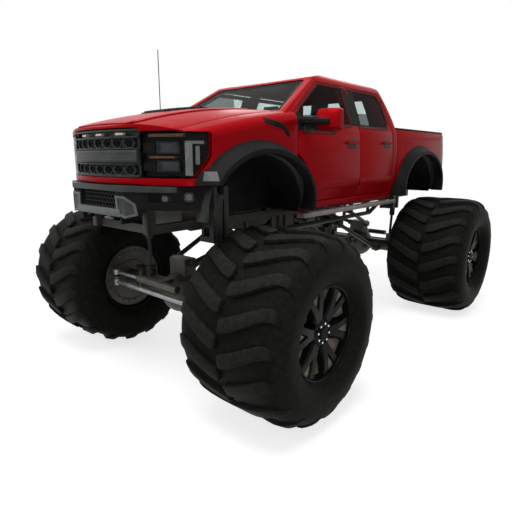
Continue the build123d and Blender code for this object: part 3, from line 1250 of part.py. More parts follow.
def at_wheel(y, radius, angle):
    return (AXLE_X + radius * cos(angle), WHEEL_Y + y, AXLE_Z + radius * sin(angle))


def flat_face(*corners):
    return Face(Wire.make_polygon(list(corners)))


def lug_ring(row, lug_station, on_tip):
    share, drop, turn, half_width = lug_station
    y = row * share * TYRE_WIDTH / 2
    radius = TYRE_RADIUS - drop
    spread = half_width / TYRE_RADIUS
    if not on_tip:
        radius -= LUG_HEIGHT
        spread += LUG_FOOT_WIDER / TYRE_RADIUS
    stagger = 0 if row > 0 else -LUG_PITCH / 2
    corners = []
    for index in range(LUGS):
        middle = LUG_PHASE + stagger + index * LUG_PITCH + turn * pi / 180
        corners.append((middle - spread, y, radius))
        corners.append((middle + spread, y, radius))
    return corners


def plain_ring(y, radius):
    turn = LUG_STATIONS[-1][2] * pi / 180
    return [(LUG_PHASE + turn + index * LUG_PITCH, y, radius * FLAT_TO_CORNER) for index in range(LUGS)]


def ring_point(corner):
    angle, y, radius = corner
    return at_wheel(y, radius, angle)


def stitched(one, two):
    faces = []
    first, second = 0, 0
    while first < len(one) or second < len(two):
        turn_one, index_one = divmod(first + 1, len(one))
        turn_two, index_two = divmod(second + 1, len(two))
        next_one = one[index_one][0] + 2 * pi * turn_one
        next_two = two[index_two][0] + 2 * pi * turn_two
        a, b = one[first % len(one)], two[second % len(two)]
        if second == len(two) or (first < len(one) and next_one <= next_two):
            faces.append(flat_face(ring_point(a), ring_point(one[index_one]), ring_point(b)))
            first += 1
        else:
            faces.append(flat_face(ring_point(a), ring_point(two[index_two]), ring_point(b)))
            second += 1
    return faces


def lug_row(row):
    feet = [lug_ring(row, lug_station, False) for lug_station in LUG_STATIONS]
    tips = [lug_ring(row, lug_station, True) for lug_station in LUG_STATIONS]
    faces = []
    for index in range(LUGS):
        left, right = 2 * index, 2 * index + 1
        after = (right + 1) % (2 * LUGS)
        for end in (0, -1):
            corners = [feet[end][left], feet[end][right], tips[end][right], tips[end][left]]
            faces.append(flat_face(*[ring_point(corner) for corner in corners]))
        for low in range(len(LUG_STATIONS) - 1):
            high = low + 1
            strips = [
                (feet[low][right], feet[low][after], feet[high][after], feet[high][right]),
                (tips[low][left], tips[low][right], tips[high][right], tips[high][left]),
                (feet[low][left], tips[low][left], tips[high][left], feet[high][left]),
                (tips[low][right], feet[low][right], feet[high][right], tips[high][right]),
            ]
            for strip in strips:
                a, b, c, d = [ring_point(corner) for corner in strip]
                faces.append(flat_face(a, b, c))
                faces.append(flat_face(a, c, d))
    return faces, feet[0], feet[-1]


def tyre():
    half_width = TYRE_WIDTH / 2
    height = CROWN_RADIUS - BEAD_RADIUS
    faces = []
    middles = []
    inner_rings = []
    for row in (1, -1):
        lug_faces, inner_edge, outer_edge = lug_row(row)
        faces.extend(lug_faces)
        middles.append(inner_edge)
        rings = [outer_edge]
        for wide, high in SIDEWALL:
            rings.append(plain_ring(row * half_width * wide, BEAD_RADIUS + height * high))
        rings.append(plain_ring(row * BEAD_WIDTH / 2, BEAD_RADIUS))
        rings.append(plain_ring(row * (BEAD_WIDTH / 2 - CARCASS_WALL), BEAD_RADIUS))
        wide, high = INNER_SHOULDER
        rings.append(plain_ring(row * half_width * wide, BEAD_RADIUS + height * high))
        inner_rings.append(rings[-1])
        for one, two in zip(rings, rings[1:]):
            faces.extend(stitched(one, two))
    faces.extend(stitched(*middles))
    faces.extend(stitched(*inner_rings))
    return Solid(Shell(faces))


def build_running_gear():
    links = axle_links()
    keep("suspension_links", *links, *[to_rear(shape) for shape in links])
    shocks = pair(shock())
    keep("shock_absorbers", *shocks, *[to_rear(shape) for shape in shocks])
    pieces = {
        "axle": axle_housing(),
        "tie_rod": tie_rod(),
        "ram_rod": ram_rod(),
    }
    corner = {"knuckle": knuckle(), "rim": rim()}
    for end, move in (("front", lambda shape: shape), ("rear", to_rear)):
        for name, shape in pieces.items():
            keep(f"{end}_{name}", move(shape))
        for name, shape in corner.items():
            keep(f"{end}_{name}_left", move(shape))
            keep(f"{end}_{name}_right", across(move(shape)))
    front_tyre = tyre()
    for end, shift in (("front", 0), ("rear", -WHEELBASE)):
        placed = Pos(shift, 0, 0) * front_tyre
        keep(f"{end}_tyre_left", placed)
        keep(f"{end}_tyre_right", across(placed))


build_doors()
build_cab()
build_front()
build_arches()
build_bed()
build_bumpers()
build_trim()
build_interior()
build_frame()
build_driveline()
build_running_gear()

os.makedirs("parts", exist_ok=True)
for name, shape in NODES.items():
    export_step(shape, f"parts/{name}.step")
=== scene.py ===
import json
from math import cos, pi, radians, sin, sqrt

import bmesh
import bpy
from mathutils import Matrix, Vector
from mathutils.bvhtree import BVHTree


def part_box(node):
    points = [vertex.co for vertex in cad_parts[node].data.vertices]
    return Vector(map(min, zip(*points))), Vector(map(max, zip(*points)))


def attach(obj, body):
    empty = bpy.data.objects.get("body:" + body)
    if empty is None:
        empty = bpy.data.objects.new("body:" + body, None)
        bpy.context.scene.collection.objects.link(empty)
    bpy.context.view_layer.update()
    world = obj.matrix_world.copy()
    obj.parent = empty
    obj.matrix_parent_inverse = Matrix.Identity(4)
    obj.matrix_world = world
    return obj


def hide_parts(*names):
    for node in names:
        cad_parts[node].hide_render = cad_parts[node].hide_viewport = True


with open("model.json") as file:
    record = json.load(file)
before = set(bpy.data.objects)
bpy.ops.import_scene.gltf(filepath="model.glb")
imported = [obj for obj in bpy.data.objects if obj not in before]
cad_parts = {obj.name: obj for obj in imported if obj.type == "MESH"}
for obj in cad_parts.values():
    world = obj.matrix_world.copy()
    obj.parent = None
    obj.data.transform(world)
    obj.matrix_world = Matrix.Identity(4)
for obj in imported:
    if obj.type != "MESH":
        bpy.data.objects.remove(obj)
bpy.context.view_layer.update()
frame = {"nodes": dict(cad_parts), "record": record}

NODES = frame["nodes"]

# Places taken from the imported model, in metres
WHEEL_X = 1.955
WHEEL_Y = 1.392
AXLE_Z = 0.838
TYRE_RADIUS = 0.838
SIDES = (("left", 1), ("right", -1))
ENDS = (("front", 1), ("rear", -1))


# Materials
COLOUR_SPAN = (0.3, 0.7)
BROAD_DETAIL = 4.0
FINE_DETAIL = 3.0
GLASS_ROUGHNESS = (0.02, 0.05)
GLASS_WAVES = (3.0, 2.0)


def put(node, values):
    for name, value in dict(values).items():
        node.inputs[name].default_value = value


def add_node(tree, kind, values=()):
    made = tree.nodes.new("ShaderNode" + kind)
    put(made, values)
    return made


def new_material(name, values):
    made = bpy.data.materials.new(name)
    made.use_nodes = True
    shader = made.node_tree.nodes["Principled BSDF"]
    put(shader, values)
    return made, made.node_tree, shader


def add_noise(tree, scale, detail):
    place = add_node(tree, "TexCoord")
    noise = add_node(tree, "TexNoise", {"Scale": scale, "Detail": detail})
    tree.links.new(place.outputs["Object"], noise.inputs["Vector"])
    return noise.outputs["Fac"]


def add_span(tree, source, low, high):
    """Number from low to high that follows a source from 0 to 1."""
    span = add_node(tree, "MapRange", {"To Min": low, "To Max": high})
    tree.links.new(source, span.inputs["Value"])
    return span.outputs["Result"]


def add_ramp(tree, source, dark, light):
    ramp = add_node(tree, "ValToRGB")
    for element, place, colour in zip(ramp.color_ramp.elements, COLOUR_SPAN, (dark, light)):
        element.position = place
        element.color = (*colour, 1)
    tree.links.new(source, ramp.inputs["Fac"])
    return ramp.outputs["Color"]


def surface(name, dark, light, rough, scale, grain=(0.1, 300), metallic=0.0, coat=0.0, span=0.06,
            specular=0.5):
    """Principled surface whose colour, gloss and fine grain (strength, scale) vary by noise."""
    made, tree, shader = new_material(name, {
        "Metallic": metallic, "Specular IOR Level": specular, "Coat Weight": coat,
        "Coat Roughness": 0.04,
    })
    broad = add_noise(tree, scale, BROAD_DETAIL)
    tree.links.new(add_ramp(tree, broad, dark, light), shader.inputs["Base Color"])
    tree.links.new(add_span(tree, broad, rough - span, rough + span), shader.inputs["Roughness"])
    relief = add_node(tree, "Bump", {"Strength": grain[0], "Distance": 0.002})
    tree.links.new(add_noise(tree, grain[1], FINE_DETAIL), relief.inputs["Height"])
    tree.links.new(relief.outputs["Normal"], shader.inputs["Normal"])
    return made


def clear_surface(name, tint):
    """Tinted see-through glass or lens with a faint unevenness in its gloss."""
    values = {"Base Color": (*tint, 1), "Transmission Weight": 1.0, "IOR": 1.05}
    made, tree, shader = new_material(name, values)
    waves = add_noise(tree, *GLASS_WAVES)
    tree.links.new(add_span(tree, waves, *GLASS_ROUGHNESS), shader.inputs["Roughness"])
    return made


PAINT = surface("red_paint", (0.31, 0.002, 0.005), (0.39, 0.003, 0.007), 0.28,
                scale=900, grain=(0.02, 1200), metallic=0.1, specular=0.02)
SATIN = surface("satin_black", (0.01, 0.011, 0.01), (0.017, 0.018, 0.017), 0.4,
                scale=5, grain=(0.12, 500), specular=0.02)
GLOSS = surface("gloss_black", (0.006, 0.006, 0.005), (0.01, 0.01, 0.009), 0.14,
                scale=4, grain=(0.01, 300), span=0.05, specular=0.1)
TRIM = surface("moulded_plastic", (0.02, 0.023, 0.021), (0.034, 0.039, 0.036), 0.42,
               scale=8, grain=(0.2, 700), specular=0.12)
LINER = surface("liner_plastic", (0.018, 0.024, 0.02), (0.034, 0.042, 0.035), 0.45,
                scale=7, grain=(0.3, 240), specular=0.2)
RUBBER = surface("tyre_rubber", (0.008, 0.008, 0.0074), (0.0155, 0.0152, 0.0136), 0.55,
                 scale=26, grain=(0.5, 150), span=0.1, specular=0.02)
GREY = surface("bumper_coat", (0.085, 0.1, 0.096), (0.125, 0.145, 0.139), 0.4,
               scale=9, grain=(0.1, 600), specular=0.25)
DARK_GREY = surface("dark_coat", (0.034, 0.039, 0.036), (0.058, 0.064, 0.06), 0.45,
                    scale=9, grain=(0.1, 600), specular=0.15)
FRAME = surface("frame_coat", (0.024, 0.023, 0.019), (0.052, 0.049, 0.04), 0.44,
                scale=5, grain=(0.2, 220), specular=0.15)
IRON = surface("axle_iron", (0.03, 0.028, 0.022), (0.085, 0.076, 0.06), 0.5,
               scale=7, grain=(0.4, 120), metallic=0.2, span=0.1)
STEEL = surface("worn_steel", (0.24, 0.26, 0.26), (0.38, 0.4, 0.4), 0.36,
                scale=20, grain=(0.1, 500), metallic=0.4, span=0.1)
BRIGHT = surface("bright_steel", (0.55, 0.55, 0.54), (0.7, 0.7, 0.69), 0.18,
                 scale=20, grain=(0.05, 500), metallic=1.0)
# Running boards are coloured paler than their own coat: painted light on their tops, which lie in the body's
# shadow
BOARD_WITH_PAINTED_LIGHT = surface("board_coat", (0.2, 0.168, 0.15), (0.3, 0.258, 0.235), 0.42,
                scale=7, grain=(0.2, 300), coat=0.1)
SEAT = surface("seat_leather", (0.028, 0.028, 0.03), (0.046, 0.046, 0.048), 0.5,
               scale=12, grain=(0.35, 420))
BED = surface("bed_coating", (0.016, 0.016, 0.016), (0.03, 0.03, 0.03), 0.7, scale=30, grain=(0.6, 260))
LIGHT_BAR = surface("light_bar", (0.15, 0.158, 0.16), (0.23, 0.24, 0.245), 0.22,
                    scale=12, grain=(0.02, 300), specular=0.3)
LENS_RED = surface("red_lens", (0.13, 0.003, 0.005), (0.22, 0.006, 0.008), 0.12,
                   scale=30, grain=(0.05, 400), span=0.05, specular=0.25)
MARKER = surface("pale_marker", (0.5, 0.44, 0.36), (0.66, 0.6, 0.52), 0.25,
                 scale=30, grain=(0.05, 400), coat=0.5)
GLASS = clear_surface("tinted_glass", (0.35, 0.39, 0.38))
LENS = clear_surface("lamp_cover", (0.46, 0.47, 0.46))
PROJECTOR = surface("projector_lens", (0.03, 0.034, 0.042), (0.055, 0.06, 0.07), 0.1,
                    scale=14, grain=(0.02, 300), span=0.04, specular=0.3)
AMBER = surface("amber_strip", (0.11, 0.06, 0.03), (0.17, 0.098, 0.052), 0.3,
                scale=20, grain=(0.05, 300), specular=0.2)
RIM = surface("rim_black", (0.006, 0.006, 0.005), (0.01, 0.01, 0.009), 0.2,
              scale=4, grain=(0.02, 300), span=0.05, specular=0.04)
# Pale bronze for the wheels' pockets and plate bolts: painted glints, a painted reflection on the dark wheel
PAINTED_GLINT = surface("rim_pocket_glint", (0.13, 0.11, 0.076), (0.21, 0.178, 0.124), 0.3,
                 scale=9, grain=(0.05, 300), specular=0.2)
SMOKED = surface("smoked_lens", (0.1, 0.096, 0.105), (0.15, 0.145, 0.155), 0.35,
                 scale=20, grain=(0.02, 300), specular=0.12)
MIRROR = surface("mirror_glass", (0.75, 0.75, 0.75), (0.82, 0.82, 0.82), 0.05,
                 scale=3, grain=(0.0, 300), metallic=1.0, span=0.02)

# Rubber colour is scaled by a mark on the tyres: paler on the bars' tops from dust and a painted highlight,
# darker in the grooves from painted shade
DUST_AND_LIGHT_SPAN = (0.85, 1.65)


def paint_dust_and_light(tree):
    shader = tree.nodes["Principled BSDF"]
    colour = shader.inputs["Base Color"].links[0].from_socket
    dust_and_light = add_node(tree, "Attribute")
    dust_and_light.attribute_name = "dust_and_painted_light"
    shaded = add_node(tree, "VectorMath")
    shaded.operation = "SCALE"
    tree.links.new(colour, shaded.inputs[0])
    tree.links.new(add_span(tree, dust_and_light.outputs["Fac"], *DUST_AND_LIGHT_SPAN), shaded.inputs["Scale"])
    tree.links.new(shaded.outputs["Vector"], shader.inputs["Base Color"])


paint_dust_and_light(RUBBER.node_tree)

SLOT_MATERIALS = {
    "body_paint": PAINT, "dark_plastic": SATIN, "grille_plastic": TRIM, "lamp_cover": GLOSS,
    "tail_lamp": LENS_RED, "window_glass": GLASS, "bumper_steel": DARK_GREY, "frame_steel": FRAME,
    "axle_iron": IRON, "rod_steel": STEEL, "rim_paint": RIM, "tyre_rubber": RUBBER,
    "seat_cover": SEAT, "bed_coat": BED, "board_coat": BOARD_WITH_PAINTED_LIGHT,
}
SLOTS = {row["node"]: row["material_slot"] for row in frame["record"]["subparts"]}
MEMBERS = frame["record"]["behaviour"]["bodies"]
BODIES = {node: body for body, nodes in MEMBERS.items() for node in nodes}


def linked(name, data):
    made = bpy.data.objects.new(name, data)
    bpy.context.scene.collection.objects.link(made)
    return made


# Mesh builder: pieces are gathered in one bmesh and then become one object
class Build:
    def __init__(self):
        self.mesh = bmesh.new()

    def grid(self, rows, close_rows=False, close_columns=False, ends=False):
        """Skin over rows of points that all have the same length, with flat ends if asked for."""
        count, width = len(rows), len(rows[0])
        faces = []
        if ends:
            last = (count - 1) * width
            faces = [tuple(range(width - 1, -1, -1)), tuple(last + index for index in range(width))]
        for row in range(count if close_rows else count - 1):
            for column in range(width if close_columns else width - 1):
                low, high = row * width, (row + 1) % count * width
                after = (column + 1) % width
                faces.append((low + column, low + after, high + after, high + column))
        made = [self.mesh.verts.new(point) for row in rows for point in row]
        for face in faces:
            self.mesh.faces.new([made[index] for index in face])

    def loft(self, rings):
        """Closed solid through rings of points."""
        self.grid(rings, False, True, True)

    def tube(self, start, end, radius, end_radius=None, sides=20):
        axis = Vector(end) - Vector(start)
        turn = axis.to_track_quat("Z", "Y")
        rings = []
        for centre, size in ((start, radius), (end, end_radius or radius)):
            ring = []
            for index in range(sides):
                angle = 2 * pi * index / sides
                ring.append(Vector(centre) + turn @ Vector((size * cos(angle), size * sin(angle), 0)))
            rings.append(ring)
        self.loft(rings)

    def spin(self, profile, centre, segments, closed):
        """Turns a profile of (y, radius) about a line along Y."""
        x, y, z = centre
        rows = []
        for index in range(segments):
            angle = 2 * pi * index / segments
            rows.append([(x + r * cos(angle), y + along, z + r * sin(angle)) for along, r in profile])
        self.grid(rows, True, closed)

    def box(self, low, high):
        (x0, y0, z0), (x1, y1, z1) = low, high
        lower = [(x0, y0, z0), (x1, y0, z0), (x1, y1, z0), (x0, y1, z0)]
        self.loft([lower, [(x, y, z1) for x, y, _ in lower]])

    def object(self, name, material, body="chassis", slot="dark_plastic", bevel=0.0, segments=2, sharp=35,
               replaces=()):
        bmesh.ops.recalc_face_normals(self.mesh, faces=self.mesh.faces)
        if bevel:
            edges = [e for e in self.mesh.edges if e.is_manifold and e.calc_face_angle(0) > radians(sharp)]
            bmesh.ops.bevel(self.mesh, geom=edges, offset=bevel, segments=segments, profile=0.5,
                            affect="EDGES", clamp_overlap=True)
        data = bpy.data.meshes.new(name)
        self.mesh.to_mesh(data)
        self.mesh.free()
        data.shade_smooth()
        data.set_sharp_from_angle(angle=radians(sharp))
        data.materials.append(material)
        made = linked(name, data)
        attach(made, body)
        if replaces:
            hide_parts(*replaces)
        return made


ROUNDED_ANGLE = 28


def rounded(node, bevel, segments=3, material=None):
    """Copy of a CAD node with its edges rounded, which stands for it."""
    build = Build()
    build.mesh.from_mesh(NODES[node].data)
    bmesh.ops.remove_doubles(build.mesh, verts=build.mesh.verts, dist=0.00005)
    bmesh.ops.dissolve_limit(build.mesh, angle_limit=radians(0.5), verts=build.mesh.verts,
                             edges=build.mesh.edges)
    slot = SLOTS[node]
    material = material or SLOT_MATERIALS[slot]
    name = f"{node}_finish"
    return build.object(name, material, BODIES[node], slot, bevel, segments, ROUNDED_ANGLE, (node,))


# Materials of the nodes that stay as they are
NODE_MATERIALS = {"shock_absorbers": DARK_GREY}
for name, node in NODES.items():
    node.data.materials.clear()
    node.data.materials.append(NODE_MATERIALS.get(name, SLOT_MATERIALS[SLOTS[name]]))


# Tyres: carcass turned from a profile, with bars that lean to a V and wrap over the shoulder
CARCASS = [
    (0.0, 0.794), (0.1, 0.794), (0.2, 0.794), (0.28, 0.793), (0.35, 0.79), (0.41, 0.784), (0.455, 0.772),
    (0.49, 0.752), (0.518, 0.722), (0.538, 0.68), (0.55, 0.625), (0.555, 0.57), (0.551, 0.515),
    (0.533, 0.47), (0.505, 0.44), (0.482, 0.428), (0.472, 0.415), (0.455, 0.404), (0.4, 0.404),
]
TYRE_SEGMENTS = 120
LUGS = 18
LUG_PITCH = 2 * pi / LUGS
LUG_SHIFT = 0.05
LUG_PHASE = LUG_SHIFT / TYRE_RADIUS - pi / 2
# Mark on the rubber: bars proud by more than LUG_TOP are paler (dust and painted highlight), the sidewall
# below SIDEWALL_RADIUS is set between, the rest gets painted shade
LUG_TOP = 0.02
SIDEWALL_RADIUS = 0.74
SIDEWALL_DUST_AND_LIGHT = 0.35
# Columns: half-width position, tip radius, turn in degrees, half width, depth of the foot below the tip
LUG_LINE = [
    (0.012, 0.834, 0.0, 0.034, 0.052),
    (0.016, 0.8372, 0.0, 0.046, 0.052),
    (0.026, 0.838, 0.1, 0.055, 0.052),
    (0.05, 0.838, 0.4, 0.061, 0.052),
    (0.13, 0.8378, 2.4, 0.062, 0.053),
    (0.22, 0.8365, 5.4, 0.06, 0.054),
    (0.31, 0.8325, 8.8, 0.057, 0.054),
    (0.385, 0.8235, 11.6, 0.054, 0.052),
    (0.435, 0.809, 12.8, 0.051, 0.05),
    (0.475, 0.785, 12.6, 0.047, 0.046),
    (0.506, 0.752, 11.2, 0.042, 0.04),
    (0.528, 0.714, 9.4, 0.036, 0.034),
    (0.534, 0.698, 8.6, 0.03, 0.028),
]
# A bar is flat on top, with steep sides
LUG_SECTION = [
    (-1.1, 1.0), (-1.02, 0.16), (-0.98, 0.04), (-0.9, 0.0), (0.9, 0.0), (0.98, 0.04), (1.02, 0.16),
    (1.12, 1.0),
]


def add_lug(build, centre, row, angle):
    x, y, z = centre
    rings = []
    for along, tip, turn, half, depth in LUG_LINE:
        ring = []
        for side, sink in LUG_SECTION:
            radius = tip - depth * sink
            place = angle + radians(turn) + side * half / TYRE_RADIUS
            ring.append((x + radius * cos(place), y + row * along, z + radius * sin(place)))
        rings.append(ring)
    build.loft(rings)


def carcass_radius(across):
    for (y0, r0), (y1, r1) in zip(CARCASS, CARCASS[1:]):
        if y0 <= across <= y1:
            return r0 + (r1 - r0) * (across - y0) / (y1 - y0)
    return CARCASS[-1][1]


def mark_dust_and_painted_light(mesh, centre):
    """Bars are paler on top from dust and a painted highlight, grooves get painted shade and the sidewall
    lies between.
    """
    layer = mesh.verts.layers.float.new("dust_and_painted_light")
    for vertex in mesh.verts:
        across = abs(vertex.co.y - centre[1])
        radius = sqrt((vertex.co.x - centre[0]) ** 2 + (vertex.co.z - centre[2]) ** 2)
        proud = radius - carcass_radius(across)
        if proud > LUG_TOP:
            vertex[layer] = 1.0
        elif radius < SIDEWALL_RADIUS:
            vertex[layer] = SIDEWALL_DUST_AND_LIGHT
        else:
            vertex[layer] = 0.0


def make_tyre(end, fore, side, sign):
    build = Build()
    centre = (fore * WHEEL_X, sign * WHEEL_Y, AXLE_Z)
    profile = CARCASS + [(-y, r) for y, r in reversed(CARCASS[1:])]
    build.spin(profile, centre, TYRE_SEGMENTS, True)
    for index in range(LUGS):
        for row in (1, -1):
            stagger = 0 if row == sign else -LUG_PITCH / 2
            add_lug(build, centre, row, LUG_PHASE + stagger + index * LUG_PITCH)
    mark_dust_and_painted_light(build.mesh, centre)
    node = f"{end}_tyre_{side}"
    build.object(f"{node}_tread", RUBBER, f"{end}_wheel_{side}", "tyre_rubber", replaces=(node,))


# Wheels: deep lip, six split spokes, nuts and a cap; profiles are (along the axle, radius)
BARREL = [
    (0.462, 0.4015), (0.47, 0.411), (0.474, 0.409), (0.474, 0.398), (0.466, 0.392), (0.452, 0.388),
    (0.38, 0.382), (0.2, 0.37), (-0.44, 0.37), (-0.474, 0.396), (-0.474, 0.409), (-0.462, 0.4015),
]
BARREL_SEGMENTS = 96
HUB = [(0.2, 0.08005), (0.2, 0.12), (0.4, 0.12), (0.424, 0.112), (0.43, 0.06), (0.43, 0.0005)]
CAP = [(0.426, 0.0005), (0.458, 0.0005), (0.458, 0.044), (0.45, 0.054), (0.426, 0.056)]
HUB_SEGMENTS = 48
BACK_PLATE = [
    (-0.43, 0.081), (-0.43, 0.2), (-0.422, 0.21), (-0.422, 0.29), (-0.43, 0.3), (-0.43, 0.371),
    (-0.395, 0.371), (-0.395, 0.081),
]
PLATE_SEGMENTS = 72
SPOKES = 6
SPOKE_TURN = 0.16
# Columns: radius, lean of the arm in degrees, half width, outer face, inner face
SPOKE_LINE = [
    (0.06, 0.0, 0.042, 0.424, 0.34),
    (0.12, 0.0, 0.058, 0.43, 0.345),
    (0.19, 6.0, 0.043, 0.44, 0.352),
    (0.26, 9.5, 0.04, 0.448, 0.36),
    (0.33, 11.5, 0.04, 0.452, 0.366),
    (0.386, 12.5, 0.046, 0.452, 0.37),
]
SPOKE_SECTION = [(-1, 0.0), (-1, 0.78), (-0.7, 1.0), (0.7, 1.0), (1, 0.78), (1, 0.0)]
# Columns: radius, half width, outer face
WEB_LINE = [(0.215, 0.012, 0.42), (0.3, 0.032, 0.432), (0.384, 0.048, 0.438)]
OPENING_LINE = [(0.205, 0.02, 0.372), (0.29, 0.056, 0.392), (0.376, 0.086, 0.4)]
POCKET_SECTION = [(-1, 0.03), (-1, 0.006), (-0.8, 0), (0.8, 0), (1, 0.006), (1, 0.03)]
# Rings of fasteners: count, radius of the ring, foot, tip
NUTS = (8, 0.082, 0.424, 0.45)
PLATE_BOLTS = (24, 0.315, -0.42, -0.446)
NUT_RADIUS = 0.014
NUT_TIP_RADIUS = 0.8 * NUT_RADIUS
NUT_SIDES = 6
NUT_TURN = 0.2


def wheel_point(centre, radius, across, angle, along, sign):
    x, y, z = centre
    px = radius * cos(angle) - across * sin(angle)
    pz = radius * sin(angle) + across * cos(angle)
    return x + px, y + sign * along, z + pz


def add_spokes(build, centre, sign):
    for index in range(SPOKES):
        middle = 2 * pi * index / SPOKES + SPOKE_TURN
        for lean in (-1, 1):
            rings = []
            for radius, turn, half, face, back in SPOKE_LINE:
                angle = middle + lean * radians(turn)
                thick = face - back
                rings.append([wheel_point(centre, radius, across * half, angle, back + thick * high, sign)
                              for across, high in SPOKE_SECTION])
            build.loft(rings)


def add_pockets(build, centre, sign, line, turn):
    for index in range(SPOKES):
        middle = 2 * pi * index / SPOKES + turn
        build.loft([[wheel_point(centre, radius, across * half, middle, face - low, sign)
                     for across, low in POCKET_SECTION] for radius, half, face in line])


def add_nuts(build, centre, sign, count, ring, foot, tip):
    for index in range(count):
        angle = 2 * pi * index / count + NUT_TURN
        start = wheel_point(centre, ring, 0, angle, foot, sign)
        end = wheel_point(centre, ring, 0, angle, tip, sign)
        build.tube(start, end, NUT_RADIUS, NUT_TIP_RADIUS, NUT_SIDES)


def add_turned(build, profile, centre, sign, segments, closed):
    build.spin([(sign * along, r) for along, r in profile], centre, segments, closed)


def make_wheel(end, fore, side, sign):
    centre = (fore * WHEEL_X, sign * WHEEL_Y, AXLE_Z)
    body = f"{end}_wheel_{side}"
    node = f"{end}_rim_{side}"
    build = Build()
    add_turned(build, BARREL, centre, sign, BARREL_SEGMENTS, True)
    add_spokes(build, centre, sign)
    add_turned(build, HUB, centre, sign, HUB_SEGMENTS, False)
    build.object(f"{node}_wheel", RIM, body, "rim_paint", sharp=32, replaces=(node,))
    # The pockets on and between the spokes are pale bronze: a painted reflection of glints
    pockets = Build()
    add_pockets(pockets, centre, sign, WEB_LINE, SPOKE_TURN)
    add_pockets(pockets, centre, sign, OPENING_LINE, SPOKE_TURN + pi / SPOKES)
    pockets.object(f"{node}_pockets", PAINTED_GLINT, body, "rim_paint")
    plate = Build()
    add_turned(plate, BACK_PLATE, centre, sign, PLATE_SEGMENTS, True)
    plate.object(f"{node}_plate", IRON, body, "axle_iron")
    # The plate bolts are pale bronze too: a painted glint
    bolts = Build()
    add_nuts(bolts, centre, sign, *PLATE_BOLTS)
    bolts.object(f"{node}_plate_bolts", PAINTED_GLINT, body, "axle_iron")
    nuts = Build()
    add_nuts(nuts, centre, sign, *NUTS)
    nuts.object(f"{node}_nuts", BRIGHT, body, "rod_steel", bevel=0.002)
    cap = Build()
    add_turned(cap, CAP, centre, sign, HUB_SEGMENTS, False)
    cap.object(f"{node}_cap", SATIN, body)


for end_row in ENDS:
    for side_row in SIDES:
        make_tyre(*end_row, *side_row)
        make_wheel(*end_row, *side_row)


# Body panels and fittings with rounded edges
PANEL_EDGE = 0.01
PANELS = (
    "hood", "front_fenders", "cab_sides", "roof_panel", "cab_back", "bed_sides", "tailgate", "front_valance",
    "front_door_left", "front_door_right", "rear_door_left", "rear_door_right",
)
FITTING_EDGE = 0.006
FITTINGS = ("wheel_flares", "rear_bumper", "running_boards", "frame")
for name in PANELS:
    rounded(name, PANEL_EDGE)
for name in FITTINGS:
    rounded(name, FITTING_EDGE)


# Trim is laid on the solids' skin along a line of sight
SIGHT_LENGTH = 2
SKIN_STEP = 0.04
PATCH_RINGS = (0.002, 0.3, 0.6, 0.85, 0.97)
PATCH_EDGE = 0.25


def skin_of(*nodes):
    points, faces = [], []
    for node in nodes:
        data = NODES[node].data
        start = len(points)
        points += [vertex.co.copy() for vertex in data.vertices]
        faces += [[start + index for index in polygon.vertices] for polygon in data.polygons]
    return BVHTree.FromPolygons(points, faces)


def laid(skin, point, toward, lift):
    place, normal, _, _ = skin.ray_cast(point - toward * SIGHT_LENGTH, toward)
    if place is None:
        place, normal, _, _ = skin.find_nearest(point)
    if normal.dot(toward) > 0:
        normal = -normal
    return place + normal * lift


def stepped(points, closed):
    """Points along an outline, close enough to follow a curved skin."""
    found = []
    ends = points[1:] + points[:1] if closed else points[1:]
    for start, end in zip(points, ends):
        count = max(1, round((Vector(end) - Vector(start)).length / SKIN_STEP))
        found += [Vector(start).lerp(Vector(end), index / count) for index in range(count)]
    return found if closed else found + [Vector(points[-1])]


def patch(build, skin, outline, toward, lift, depth):
    """Raised plate over a star-shaped outline."""
    toward = Vector(toward).normalized()
    rim = stepped(outline, True)
    centre = sum(rim, Vector()) / len(rim)
    rows = []
    for share in PATCH_RINGS:
        rows.append([laid(skin, centre.lerp(point, share), toward, lift) for point in rim])
    for height in (lift - PATCH_EDGE * abs(lift + depth), -depth):
        rows.append([laid(skin, point, toward, height) for point in rim])
    build.grid(rows, False, True)


STRIP_SECTION = [(-0.5, None), (-0.5, 0.55), (-0.4, 1.0), (0.4, 1.0), (0.5, 0.55), (0.5, None)]


def strip(build, skin, route, width, toward, lift, depth, closed):
    """Raised moulding along a route."""
    toward = Vector(toward).normalized()
    line = stepped(route, closed)
    rows = []
    for index, point in enumerate(line):
        after = line[(index + 1) % len(line)] if closed or index + 1 < len(line) else point
        before = line[index - 1] if closed or index else point
        side = (after - before).cross(toward).normalized()
        row = []
        for across, height in STRIP_SECTION:
            raised = -depth if height is None else lift * height
            row.append(laid(skin, point + side * width * across, toward, raised))
        rows.append(row)
    build.grid(rows, closed, False)


def make_plate(name, skin, outline, toward, trim, material, body="chassis", slot="dark_plastic", sharp=35):
    build = Build()
    patch(build, skin, outline, toward, *trim)
    build.object(name, material, body, slot, sharp=sharp)


def make_band(name, skin, route, width, toward, trim, material, body="chassis", closed=True):
    build = Build()
    strip(build, skin, route, width, toward, *trim, closed)
    build.object(name, material, body)


def cut_corners(along, up):
    """Unit rectangle with its corners cut."""
    return [(-1, -up), (-along, -1), (along, -1), (1, -up), (1, up), (along, 1), (-along, 1), (-1, up)]


def add_back_plate(build, place, half, corners, rings, sign=1):
    """Plate that faces back; its rings are (size, distance behind the place)."""
    x, y, z = place
    build.grid([[(x - back, sign * (y + half[0] * u * grow), z + half[1] * v * grow) for u, v in corners]
                for grow, back in rings], False, True)


def mirrored(points, sign):
    return [(x, sign * y, z) for x, y, z in points]


# Nose: an arc seen from above, with wrapped corners
NOSE_FRONT = 2.848
NOSE_RADIUS = 1.775
NOSE_HALF = 0.905
NOSE_CORNER = Vector((2.6, NOSE_HALF))
NOSE_WRAP = Vector((2.441, 0.9985))
NOSE_SIDE = Vector((2.25, 1.06))
NOSE_Z = (1.6, 2.8)
NOSE_ARC_STEPS = 12
NOSE_WRAP_STEPS = 8


def nose_x(y):
    return NOSE_FRONT - NOSE_RADIUS + sqrt(NOSE_RADIUS**2 - y * y)


